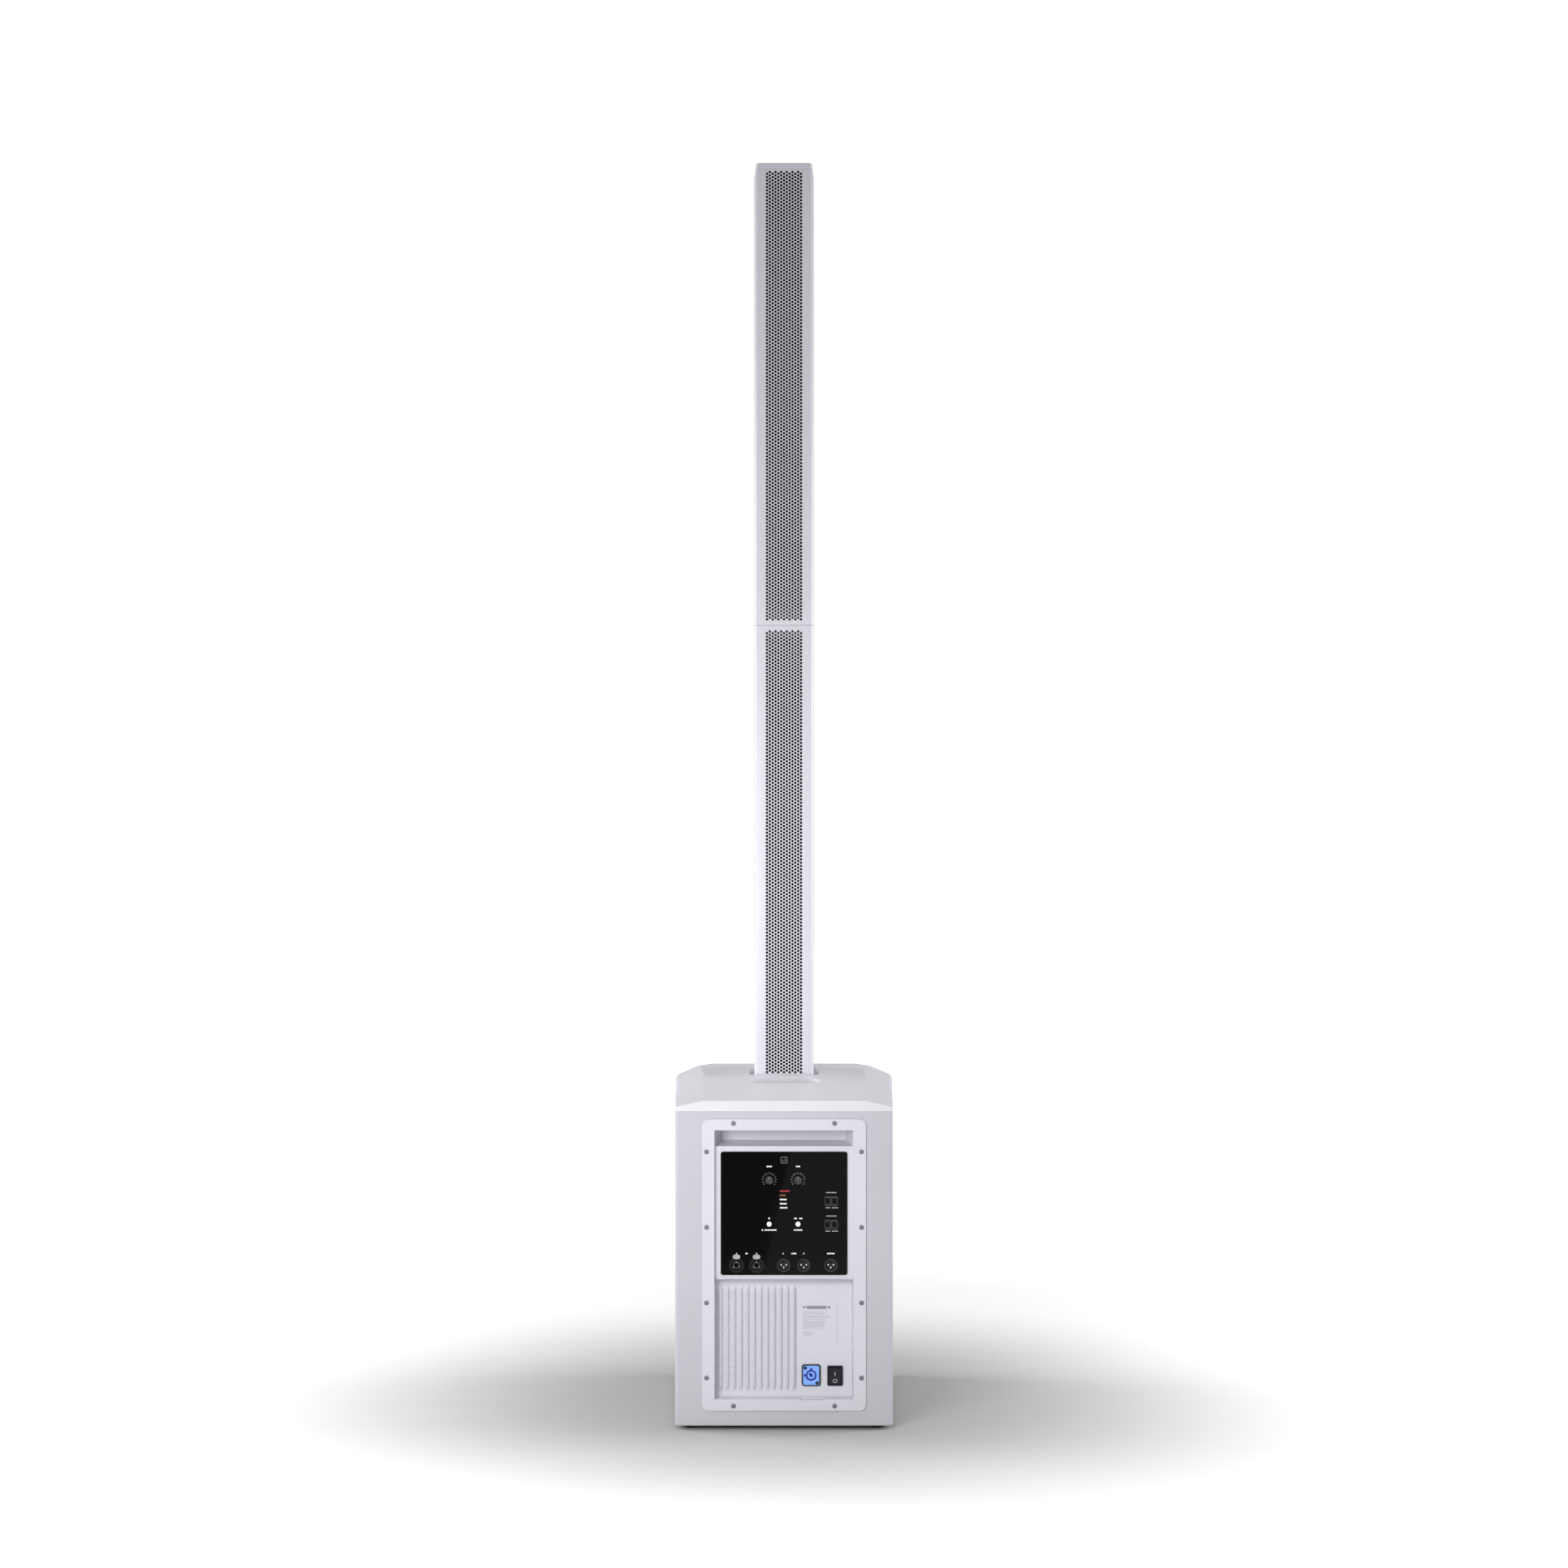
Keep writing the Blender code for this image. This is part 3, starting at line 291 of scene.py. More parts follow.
@finish
def milky_button():
    """Milky cap, lit softly from behind."""
    return plain("milky button", (0.90, 0.90, 0.91), (0.82, 0.82, 0.84), 0.22, (200.0, 0.1),
                 (1500.0, 1.0, 0.00002, 0.2), (WHITE, 0.35), coat=0.3)


@finish
def screw_coat():
    """Grey passivated screw heads with a dull, slightly cloudy coat."""
    return plain("passivated screw", (0.165, 0.165, 0.205), (0.205, 0.205, 0.245), 0.48, (420.0, 0.15),
                 (2600.0, 2.0, 0.00003, 0.3), metallic=0.25)


@finish
def pin_metal():
    """Tinned contact pins, with a painted highlight: they glow faint white."""
    # painted highlight: the pins glow white at 0.25 though they are no lamp
    return plain("tinned pin", (0.92, 0.92, 0.92), (0.80, 0.80, 0.81), 0.24, (600.0, 0.15),
                 (4000.0, 1.0, 0.00002, 0.2), (WHITE, 0.25), metallic=0.6)


@finish
def print_ink(name, red, green, blue, glow=0.0):
    """Screen-printed ink, a little uneven, or the lit window of a level light. A glow on printed ink is painted
    light.
    """
    colour = (red, green, blue)
    # painted light where the ink is print: printed marks glow though they are no lamp
    return plain(name, colour, tuple(0.86 * c for c in colour), 0.5, (800.0, 0.2), (3000.0, 1.0, 0.00002, 0.3),
                 (colour, glow) if glow else None)


@finish
def panel_gloss():
    """High-gloss black front of the mixer, with faint cloth marks."""
    made = Finish("panel gloss", 0.06, specular=0.085)
    smear = made.ramp(made.noise(made.place, 18.0, 6.0), 0.45, 0.75)
    dust = made.noise(made.place, 5200.0, 0.0) > 0.86
    made.set(Base_Color=made.mix(dust * 0.25, (0.0020, 0.0020, 0.0024), (0.02, 0.02, 0.022)),
             Roughness=0.04 + smear * 0.06)
    return made.bump(made.noise(made.place, 26.0, 1.0), 0.00002, 0.05)


@finish
def worn_metal(name, grey, roughness, tint):
    """Plated or blackened metal with fine turning marks and worn patches."""
    colour = (grey, grey * (1 + 0.01 * tint), grey * (1 + 0.05 * tint))
    made = Finish(name, roughness, 1.0)
    wear = made.ramp(made.noise(made.place, 320.0, 4.0), 0.48, 0.66)
    made.set(Base_Color=made.mix(wear * 0.4, colour, tuple(min(1.0, 1.4 * c) for c in colour)),
             Roughness=roughness + wear * -0.08)
    return made.bump(made.noise(made.place, 3000.0, 3.0), 0.00004, 0.4)


@finish
def foot_rubber():
    made = Finish("foot rubber", 0.8, specular=0.3)
    dust = made.ramp(made.noise(made.place, 420.0, 3.0), 0.5, 0.7)
    made.set(Base_Color=made.mix(dust * 0.3, (0.016, 0.016, 0.016), (0.10, 0.095, 0.09)),
             Roughness=0.74 + dust * 0.12)
    return made.bump(made.noise(made.place, 1800.0, 3.0), 0.0001, 0.5)


@finish
def acoustic_foam():
    """Open-cell foam behind the perforated sheets."""
    made = Finish("acoustic foam", 0.95, specular=0.1)
    cells = made.add("ShaderNodeTexVoronoi", None, {"Vector": made.place, "Scale": 950.0})
    made.set(Base_Color=made.mix(cells, (0.004, 0.004, 0.005), (0.014, 0.014, 0.016)))
    return made.bump(cells, 0.0004, 0.8)


@finish
def birch_ply():
    made = Finish("birch plywood", 0.6)
    along = made.add("ShaderNodeMapping", None, {"Vector": made.place, "Scale": (4.0, 90.0, 90.0)})
    rings = made.add("ShaderNodeTexWave", {"wave_type": "BANDS", "bands_direction": "Z"},
                     {"Vector": along, "Scale": 0.8, "Distortion": 7.0, "Detail": 3.0})
    made.set(Base_Color=made.mix(rings, (0.50, 0.35, 0.20), (0.66, 0.50, 0.32)), Roughness=0.55 + rings * 0.1)
    return made.bump(rings, 0.00012, 0.4)


@finish
def circuit_mask():
    made = Finish("solder mask", 0.3, coat=0.2)
    tracks = made.add("ShaderNodeTexBrick", {"offset": 0.5}, {
        "Vector": made.place, "Color1": (0.010, 0.11, 0.045), "Color2": (0.014, 0.15, 0.06),
        "Mortar": (0.30, 0.22, 0.08), "Scale": 90.0, "Mortar Size": 0.03})
    fine = made.noise(made.place, 500.0)
    made.set(Base_Color=tracks, Roughness=0.28 + fine * 0.15)
    return made.bump(fine, 0.00004, 0.4)


@finish
def cone_paper():
    made = Finish("coated paper", 0.85, specular=0.25)
    fibres = made.noise(made.place, 900.0, 6.0, 0.7)
    made.set(Base_Color=made.mix(fibres, (0.012, 0.012, 0.013), (0.040, 0.040, 0.042)),
             Roughness=0.78 + fibres * 0.15)
    return made.bump(fibres, 0.0002, 0.6)


@finish
def floor_paper():
    """Seamless paper with painted shade and light: darker near the system, burnt out to white further off by a
    glow only the camera sees.
    """
    made = Finish("studio paper", 0.9, specular=0.0)
    x, y, _ = made.parts(made.place)
    reach = (x * x + y * y) ** 0.5
    away = made.ramp(reach, 0.2, 1.1)
    fibre = made.noise(made.place, 240.0, 3.0)
    seen = made.add("ShaderNodeLightPath", output="Is Camera Ray")
    # painted light: emission for camera rays, growing with the distance from the system
    lit = away * 0.35 + made.ramp(reach, 1.0, 2.4) * 0.6
    # painted shade: the paper's colour is darker near the system
    made.set(Base_Color=made.mix(away, (0.40, 0.40, 0.40), (0.62, 0.62, 0.62)), Roughness=0.88 + fibre * 0.05,
             Emission_Color=WHITE, Emission_Strength=seen * lit)
    return made.bump(fibre, 0.0001, 0.15)


# ---- making pieces ----
def mesh_from(bm):
    mesh = bpy.data.meshes.new("mesh")
    bm.to_mesh(mesh)
    bm.free()
    return mesh


def scratch(name, mesh):
    made = bpy.data.objects.new(name, mesh)
    bpy.context.scene.collection.objects.link(made)
    return made


def evaluated(source):
    """The object's mesh with its modifiers applied; the object itself is taken away."""
    bpy.context.view_layer.update()
    graph = bpy.context.evaluated_depsgraph_get()
    mesh = bpy.data.meshes.new_from_object(source.evaluated_get(graph))
    bpy.data.objects.remove(source)
    return mesh


def modified(mesh, kind, **settings):
    """A mesh with one modifier applied."""
    made = scratch(kind, mesh)
    modifier = made.modifiers.new(kind, kind)
    for name, value in settings.items():
        setattr(modifier, name, value)
    return evaluated(made)


def walled(mesh, thickness):
    """A sheet thickened inwards from its own face."""
    return modified(mesh, "SOLIDIFY", thickness=thickness, offset=-1.0)


def piece(name, shape, material, body, replaced=(), crease=35.0):
    """Show a finished mesh: smooth with sharp creases, dressed, and riding on its body."""
    mesh = mesh_from(shape) if isinstance(shape, bmesh.types.BMesh) else shape
    mesh.materials.clear()
    mesh.materials.append(material)
    mesh.shade_smooth()
    mesh.set_sharp_from_angle(angle=math.radians(crease))
    made = scratch(name, modified(mesh, "WEIGHTED_NORMAL", keep_sharp=True, weight=90))
    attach(made, body)
    if replaced:
        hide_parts(*replaced)
    return made


def part(node, suffix, shape, material, replaces=False, crease=35.0):
    """Show a piece that belongs to a frame node: it takes the node's body, and may take its place."""
    return piece(node + suffix, shape, material, frame["nodes"][node]["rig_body"],
                 (node,) if replaces else (), crease)


def refine(node, material, width, segments=3, angle=32.0, crease=35.0):
    """Replace a frame node by its own shape, with its flats merged and its edges rounded."""
    bm = bmesh.new()
    bm.from_mesh(frame["nodes"][node].data)
    bmesh.ops.remove_doubles(bm, verts=bm.verts[:], dist=MERGE)
    bmesh.ops.dissolve_limit(bm, angle_limit=math.radians(0.6), verts=bm.verts[:], edges=bm.edges[:])
    mesh = modified(mesh_from(bm), "BEVEL", width=width, segments=segments, limit_method="ANGLE",
                    angle_limit=math.radians(angle), use_clamp_overlap=True)
    return part(node, "_shape", mesh, material, True, crease)


def dress(material, *nodes):
    """Give frame nodes that keep their shape their finish."""
    for node in nodes:
        for slot in frame["nodes"][node].material_slots:
            slot.material = material


def points(bm, places):
    return [bm.verts.new(place) for place in places]


def skin(bm, pairs, around=True):
    """Faces between the two rows of each pair, which close into loops when they run around."""
    made = []
    for first, second in pairs:
        for i in range(len(first) if around else len(first) - 1):
            j = (i + 1) % len(first)
            made.append(bm.faces.new((first[i], first[j], second[j], second[i])))
    return made


def outwards(bm):
    bmesh.ops.recalc_face_normals(bm, faces=bm.faces[:])
    return bm


def box(bm, centre, size, radius=0.0):
    """Add a box to a bmesh, with its edges along Y rounded."""
    made = bmesh.ops.create_cube(bm, size=1.0, matrix=Matrix.Translation(centre) @ Matrix.Diagonal((*size, 1)))
    if radius:
        edges = {e for v in made["verts"] for e in v.link_edges
                 if abs(e.verts[0].co.y - e.verts[1].co.y) > size[1] * 0.5}
        bmesh.ops.bevel(bm, geom=list(edges), offset=radius, segments=2, affect="EDGES", profile=0.5)


def turned(profile, centre, segments=48, up=False, closed=False, bm=None):
    """Turn a profile of (radius, height) points about an axis that runs to the rear, or up."""
    own = bmesh.new()
    row = points(own, [(radius, 0.0, height) for radius, height in profile])
    edges = [own.edges.new(pair) for pair in zip(row, row[1:])]
    if closed:
        edges.append(own.edges.new((row[-1], row[0])))
    bmesh.ops.spin(own, geom=row + edges, cent=(0, 0, 0), axis=(0, 0, 1), angle=math.tau,
                   steps=segments, use_merge=True)
    bmesh.ops.remove_doubles(own, verts=own.verts[:], dist=MERGE / 10)
    outwards(own)
    turn = Matrix.Identity(4) if up else Matrix.Rotation(math.pi / 2, 4, "X")
    bmesh.ops.transform(own, matrix=Matrix.Translation(centre) @ turn, verts=own.verts[:])
    if bm is None:
        return own
    mesh = mesh_from(own)
    bm.from_mesh(mesh)
    bpy.data.meshes.remove(mesh)
    return bm


def ring_profile(outer, inner, low, high, edge):
    """A flat ring with eased edges, as a closed profile."""
    return [(outer, low), (outer, high - edge), (outer - edge, high), (inner + edge, high),
            (inner, high - edge), (inner, low)]


# ---- geometry node trees ----
SOCKET_KINDS = {int: "NodeSocketInt", float: "NodeSocketFloat", bpy.types.Object: "NodeSocketObject",
                bpy.types.Material: "NodeSocketMaterial"}


class Builder(Graph):
    """A Geometry Nodes tree with named inputs, which ends in real geometry with a material."""

    def __init__(self, name, inputs):
        tree = bpy.data.node_groups.new(name, "GeometryNodeTree")
        super().__init__(tree)
        tree.interface.new_socket("Geometry", in_out="INPUT", socket_type="NodeSocketGeometry")
        for label, kind in inputs.items():
            tree.interface.new_socket(label, in_out="INPUT", socket_type=SOCKET_KINDS[kind])
        tree.interface.new_socket("Geometry", in_out="OUTPUT", socket_type="NodeSocketGeometry")
        entry = tree.nodes.new("NodeGroupInput")
        self.given = {socket.name: Wire(self, socket) for socket in entry.outputs if socket.name}
        self.exit = tree.nodes.new("NodeGroupOutput")

    def close(self, geometry):
        real = self.add("GeometryNodeRealizeInstances", None, [geometry])
        merged = self.add("GeometryNodeMergeByDistance", None, {"Geometry": real, "Distance": MERGE})
        dressed = self.add("GeometryNodeSetMaterial", None,
                           {"Geometry": merged, "Material": self.given["Material"]})
        self.tree.links.new(dressed.socket, self.exit.inputs[0])

    def vector(self, x, y, z):
        return self.add("ShaderNodeCombineXYZ", None, [x, y, z])

    def instances(self, points, shape, rotation=None):
        source = self.add("GeometryNodeObjectInfo", None, {"Object": shape}, "Geometry")
        return self.add("GeometryNodeInstanceOnPoints", None,
                        {"Points": points, "Instance": source, "Rotation": rotation})


def run_tree(builder, values, start=None):
    """Run a tree on a mesh, or on nothing, and give back the mesh that it makes."""
    made = scratch("tree", start or bpy.data.meshes.new("start"))
    modifier = made.modifiers.new(builder.tree.name, "NODES")
    modifier.node_group = builder.tree
    for item in builder.tree.interface.items_tree:
        if item.item_type == "SOCKET" and item.in_out == "INPUT" and item.name in values:
            modifier[item.identifier] = values[item.name]
    return evaluated(made)


def perforation_tree():
    """Staggered tiles, each with one round hole, and half tiles that square off both ends."""
    tree = Builder("Perforated sheet", {"Columns": int, "Rows": int, "Pitch X": float, "Pitch Z": float,
                                        "Tile": bpy.types.Object, "Half Tile": bpy.types.Object,
                                        "Material": bpy.types.Material})
    columns, rows = tree.given["Columns"], tree.given["Rows"]
    pitch_x, pitch_z = tree.given["Pitch X"], tree.given["Pitch Z"]

    def parity():
        x = tree.parts(tree.add("GeometryNodeInputPosition"))[0]
        column = tree.number("ROUND", x / pitch_x + (columns - 1) / 2)
        return column % 2

    grid = tree.add("GeometryNodeMeshGrid", None, {
        "Size X": (columns - 1) * pitch_x, "Size Y": (rows - 1) * pitch_z,
        "Vertices X": columns, "Vertices Y": rows})
    staggered = tree.add("GeometryNodeSetPosition", None, {
        "Geometry": grid, "Offset": tree.vector(0.0, (parity() - 0.5) * pitch_z / 2, 0.0)})
    row = tree.add("GeometryNodeMeshLine", None, {
        "Count": columns, "Start Location": tree.vector((1 - columns) * pitch_x / 2, 0.0, 0.0),
        "Offset": tree.vector(pitch_x, 0.0, 0.0)})
    ends = tree.add("GeometryNodeSetPosition", None, {
        "Geometry": row, "Offset": tree.vector(0.0, (0.5 - parity()) * rows * pitch_z, 0.0)})
    joined = tree.add("GeometryNodeJoinGeometry")
    node = joined.socket.node
    for geometry in (tree.instances(ends, tree.given["Half Tile"]),
                     tree.instances(staggered, tree.given["Tile"])):
        tree.tree.links.new(geometry.socket, node.inputs[0])
    upright = tree.add("GeometryNodeTransform", None,
                       {"Geometry": joined, "Rotation": Euler((math.pi / 2, 0, 0))})
    tree.close(upright)
    return tree


def tile_mesh(pitch_x, pitch_z, radius):
    """One cell of the sheet: eight faces between its outline and its hole."""
    a, b = pitch_x / 2, pitch_z / 2
    outline = [(a, 0), (a, b), (0, b), (-a, b), (-a, 0), (-a, -b), (0, -b), (a, -b)]
    bm = bmesh.new()
    outer = points(bm, [(x, y, 0) for x, y in outline])
    angles = [step * math.pi / 4 for step in range(8)]
    inner = points(bm, [(radius * math.cos(angle), radius * math.sin(angle), 0) for angle in angles])
    skin(bm, [(outer, inner)])
    return mesh_from(bm)


def half_tile_mesh(pitch_x, pitch_z):
    bm = bmesh.new()
    rows = [points(bm, [(x, y, 0) for x in (-pitch_x / 2, 0, pitch_x / 2)]) for y in (-pitch_z / 4, pitch_z / 4)]
    skin(bm, [rows], around=False)
    return mesh_from(bm)


def perforated(width, height, pitch, radius, thickness, material, shape=None):
    """A perforated sheet that faces the rear, centred on the origin, bent by a function of its points."""
    columns = max(3, round(width / pitch[0]))
    rows = round(height / pitch[1] - 0.5)
    pitch_x, pitch_z = width / columns, height / (rows + 0.5)
    tile = scratch("tile", tile_mesh(pitch_x, pitch_z, radius))
    half = scratch("half tile", half_tile_mesh(pitch_x, pitch_z))
    mesh = run_tree(TREES["perforation"], {
        "Columns": columns, "Rows": rows, "Pitch X": pitch_x, "Pitch Z": pitch_z, "Tile": tile,
        "Half Tile": half, "Material": material})
    bpy.data.objects.remove(tile)
    bpy.data.objects.remove(half)
    for vertex in mesh.vertices:
        vertex.co = shape(vertex.co) if shape else vertex.co
    return walled(mesh, thickness)


def fastener_tree():
    """A fastener at each point, each turned by its own amount about the axis it points along."""
    tree = Builder("Fasteners", {"Shape": bpy.types.Object, "Seed": int, "Material": bpy.types.Material})
    turn = tree.add("FunctionNodeRandomValue", {"data_type": "FLOAT"},
                    {2: 0.0, 3: math.tau, "Seed": tree.given["Seed"]}, 1)
    tree.close(tree.instances(tree.given["Geometry"], tree.given["Shape"], tree.vector(0.0, turn, 0.0)))
    return tree


def dial_tree():
    """Marks along an arc about a dial, each pointing away from its middle."""
    tree = Builder("Dial marks", {"Shape": bpy.types.Object, "Count": int, "Radius": float,
                                  "Sweep": float, "Material": bpy.types.Material})
    index = tree.add("GeometryNodeInputIndex")
    angle = tree.given["Sweep"] * (index / (tree.given["Count"] - 1) - 0.5)
    marks = tree.add("GeometryNodeMeshLine", None, {"Count": tree.given["Count"]})
    radius = tree.given["Radius"]
    arc = tree.add("GeometryNodeSetPosition", None, {"Geometry": marks, "Position": tree.vector(
        tree.number("SINE", angle) * radius, 0.0, tree.number("COSINE", angle) * radius)})
    tree.close(tree.instances(arc, tree.given["Shape"], tree.vector(0.0, angle, 0.0)))
    return tree


def rib_tree():
    """A sheet of rounded ribs side by side, which fade out at both ends."""
    tree = Builder("Cooling ribs", {"Count": int, "Pitch": float, "Length": float, "Height": float,
                                    "Fade": float, "Steps": int, "Material": bpy.types.Material})
    count, pitch, length = tree.given["Count"], tree.given["Pitch"], tree.given["Length"]
    grid = tree.add("GeometryNodeMeshGrid", None, {
        "Size X": count * pitch, "Size Y": length, "Vertices X": count * tree.given["Steps"] + 1,
        "Vertices Y": 60})
    x, y, _ = tree.parts(tree.add("GeometryNodeInputPosition"))
    wave = 0.5 - tree.number("COSINE", (x / pitch + count / 2) * math.tau) / 2
    fade = tree.ramp((length / 2 - abs(y)) / tree.given["Fade"], 0.0, 1.0)
    raised = tree.add("GeometryNodeSetPosition", None, {
        "Geometry": grid, "Offset": tree.vector(0.0, 0.0, wave * fade * tree.given["Height"])})
    tree.close(tree.add("GeometryNodeTransform", None,
                        {"Geometry": raised, "Rotation": Euler((math.pi / 2, 0, 0))}))
    return tree


TREES = {}


# ---- sizes and colours a user would change ----
class PAColours(bpy.types.PropertyGroup):
    cabinet: bpy.props.FloatVectorProperty(
        name="Cabinet", description="Paint of the wooden cabinet", subtype="COLOR",
        default=(0.520, 0.510, 0.556))
    cover: bpy.props.FloatVectorProperty(
        name="Cover", description="Moulded top cover", subtype="COLOR", default=(0.700, 0.690, 0.735))
    moulding: bpy.props.FloatVectorProperty(
        name="Rear plate", description="Moulded rear plate", subtype="COLOR", default=(0.640, 0.635, 0.690))
    column: bpy.props.FloatVectorProperty(
        name="Column", description="Powder coat of the column", subtype="COLOR", default=(0.740, 0.735, 0.800))


class PASheets(bpy.types.PropertyGroup):
    column_pitch: bpy.props.FloatVectorProperty(
        name="Column pitch", description="Spacing of the column's holes across and up", size=2, unit="LENGTH",
        default=(0.00480, 0.00568))
    column_hole: bpy.props.FloatProperty(
        name="Column hole", description="Hole radius", unit="LENGTH", default=0.00232)
    base_pitch: bpy.props.FloatVectorProperty(
        name="Base pitch", description="Spacing of the front grille's holes across and up", size=2,
        unit="LENGTH", default=(0.0076, 0.0088))
    base_hole: bpy.props.FloatProperty(
        name="Base hole", description="Hole radius", unit="LENGTH", default=0.0027)
    thickness: bpy.props.FloatProperty(
        name="Sheet", description="Thickness of the perforated sheet", unit="LENGTH", default=0.0012)


class PADetails(bpy.types.PropertyGroup):
    edge: bpy.props.FloatProperty(
        name="Edge", description="Rounding of the cabinet's edges", unit="LENGTH", default=0.0008)
    plate_edge: bpy.props.FloatProperty(
        name="Plate edge", description="Rounding of the rear plate's edges", unit="LENGTH", default=0.0012)
    print_height: bpy.props.FloatProperty(
        name="Print", description="Thickness of the printed marks", unit="LENGTH", default=0.00012)
    dial_marks: bpy.props.IntProperty(
        name="Dial marks", description="Marks around each knob", default=13)
    dial_sweep: bpy.props.FloatProperty(
        name="Dial sweep", description="Arc of the marks", subtype="ANGLE", default=math.radians(260))


class PAStage(bpy.types.PropertyGroup):
    distance: bpy.props.FloatProperty(
        name="Distance", description="Camera to the rear face", unit="LENGTH", default=4.9)
    height: bpy.props.FloatProperty(
        name="Height", description="Camera above the floor", unit="LENGTH", default=1.0547)
    lens: bpy.props.FloatProperty(
        name="Lens", description="Focal length in millimetres", default=68.91)
    room: bpy.props.FloatProperty(
        name="Room light", description="Strength of the soft light from overhead", default=0.58)
    key: bpy.props.FloatProperty(
        name="Key light", description="Power of the front light in watts", default=21.5)
    sides: bpy.props.FloatProperty(
        name="Side lights", description="Power of each side light in watts", default=42.0)
    glow: bpy.props.FloatProperty(
        name="Panel glow", description="Power of the light that the panel mirrors", default=0.35)


# ---- cabinet and cover ----
class PA_OT_cabinet(bpy.types.Operator):
    """Cabinet with rounded, painted edges, and its rubber feet"""
    bl_idname = "column_pa.cabinet"
    bl_label = "Cabinet and feet"

    def execute(self, context):
        refine("cabinet_shell", cabinet_paint(), context.scene.pa_details.edge)
        dress(birch_ply(), "front_baffle")
        for across in ("left", "right"):
            for along in ("rear", "front"):
                foot(f"{along}_{across}_foot")
        return {"FINISHED"}


def foot(node):
    """A rubber foot with a screw up its middle."""
    low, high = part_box(node)
    radius, tall = (high.x - low.x) / 2, high.z - low.z
    ease, hole, recess = 0.0006, 0.0040, 0.0027
    profile = [(0, tall), (radius - ease, tall), (radius, tall - ease), (radius - 0.0010, 0.0008),
               (radius - 0.0018, 0.0), (hole + ease, 0.0), (hole, ease), (hole, recess), (0, recess)]
    centre = ((low.x + high.x) / 2, (low.y + high.y) / 2, low.z)
    part(node, "_turned", turned(profile, centre, up=True), foot_rubber(), True)
    head = [(0, 0.0024), (0.0034, 0.0024), (0.0034, 0.0016), (0.0026, 0.0008), (0, 0.0006)]
    piece(node + "_screw", turned(head, centre, 24, up=True), worn_metal("zinc screw", 0.45, 0.35, 0), "base")


class PA_OT_cover(bpy.types.Operator):
    """Moulded top cover with the hand-hole and the column well"""
    bl_idname = "column_pa.cover"
    bl_label = "Top cover"

    def execute(self, context):
        refine("base_cap", cover_moulding(), context.scene.pa_details.edge, 4, 38.0, 30.0)
        dress(satin_black(0.5), "well_connector")
        return {"FINISHED"}


# ---- rear plate ----
RIB_COUNT = 12
RIB_PITCH = 0.01085
FIRST_RIB_X = -0.1037
RIB_Z = (0.0605, 0.2330)
RIBS = {"Height": 0.0054, "Fade": 0.009, "Steps": 14}
PLATE_SCREWS = ([(x, z) for x in (-0.1265, 0.1265) for z in (0.4545, 0.3312, 0.2080, 0.0855)]
                + [(x, z) for x in (-0.0825, 0.0825) for z in (0.5009, 0.0398)])
INLET_SCREW = (0.0097, 0.0123)      # from the inlet's middle


class PA_OT_plate(bpy.types.Operator):
    """Rear plate with its recesses and cooling ribs"""
    bl_idname = "column_pa.plate"
    bl_label = "Rear plate"

    def execute(self, context):
        refine("amp_plate", plate_moulding(), context.scene.pa_details.plate_edge, 3, 40.0, 40.0)
        mesh = run_tree(TREES["ribs"], {"Count": RIB_COUNT, "Pitch": RIB_PITCH, "Length": RIB_Z[1] - RIB_Z[0],
                                        "Material": plate_moulding(), **RIBS})
        x = FIRST_RIB_X + RIB_PITCH * (RIB_COUNT - 1) / 2
        mesh.transform(Matrix.Translation((x, RECESS_Y - 0.00025, sum(RIB_Z) / 2)))
        piece("cooling_ribs", walled(mesh, 0.0006), plate_moulding(), "base")
        return {"FINISHED"}


class PA_OT_screws(bpy.types.Operator):
    """Round-headed screws around the rear plate and on the mains inlet"""
    bl_idname = "column_pa.screws"
    bl_label = "Screws"

    def execute(self, context):
        fasten("plate_screws", PLATE_SCREWS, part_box("amp_plate")[0].y, 0.0040, 7, screw_coat())
        inlet, (across, up) = middle("inlet_body"), INLET_SCREW
        fasten("inlet_screws", [(inlet.x - across, inlet.z + up), (inlet.x + across, inlet.z - up)],
               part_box("inlet_body")[0].y, 0.0027, 3, worn_metal("black screw", 0.03, 0.4, 1))
        return {"FINISHED"}


def fasten(name, places, face_y, radius, seed, material):
    """Put one cross-headed screw on each place of a face."""
    tall = radius * 0.36
    head = turned([(0, tall), (radius * 0.55, tall * 0.93), (radius * 0.86, tall * 0.66),
                   (radius, tall * 0.25), (radius, 0.0), (0, 0.0)], (0, 0, 0), 32)
    mesh = mesh_from(head)
    for turn in (0.0, math.pi / 2):
        cut = bmesh.new()
        box(cut, (0, -tall, 0), (radius * 0.85, tall * 1.1, radius * 0.17))
        bmesh.ops.rotate(cut, verts=cut.verts[:], matrix=Matrix.Rotation(turn, 3, "Y"))
        tool = scratch("slot", mesh_from(cut))
        mesh = modified(mesh, "BOOLEAN", operation="DIFFERENCE", solver="EXACT", object=tool)
        bpy.data.objects.remove(tool)
    shape = scratch("head", mesh)
    start = bpy.data.meshes.new("places")
    start.from_pydata([(x, face_y, z) for x, z in places], [], [])
    mesh = run_tree(TREES["fasteners"], {"Shape": shape, "Seed": seed, "Material": material}, start)
    bpy.data.objects.remove(shape)
    piece(name, mesh, material, "base", crease=30.0)


# ---- control panel ----
WORD = 0.0022           # height of a printed word
FINE_WORD = 0.0014
BADGE_Z = 0.4402


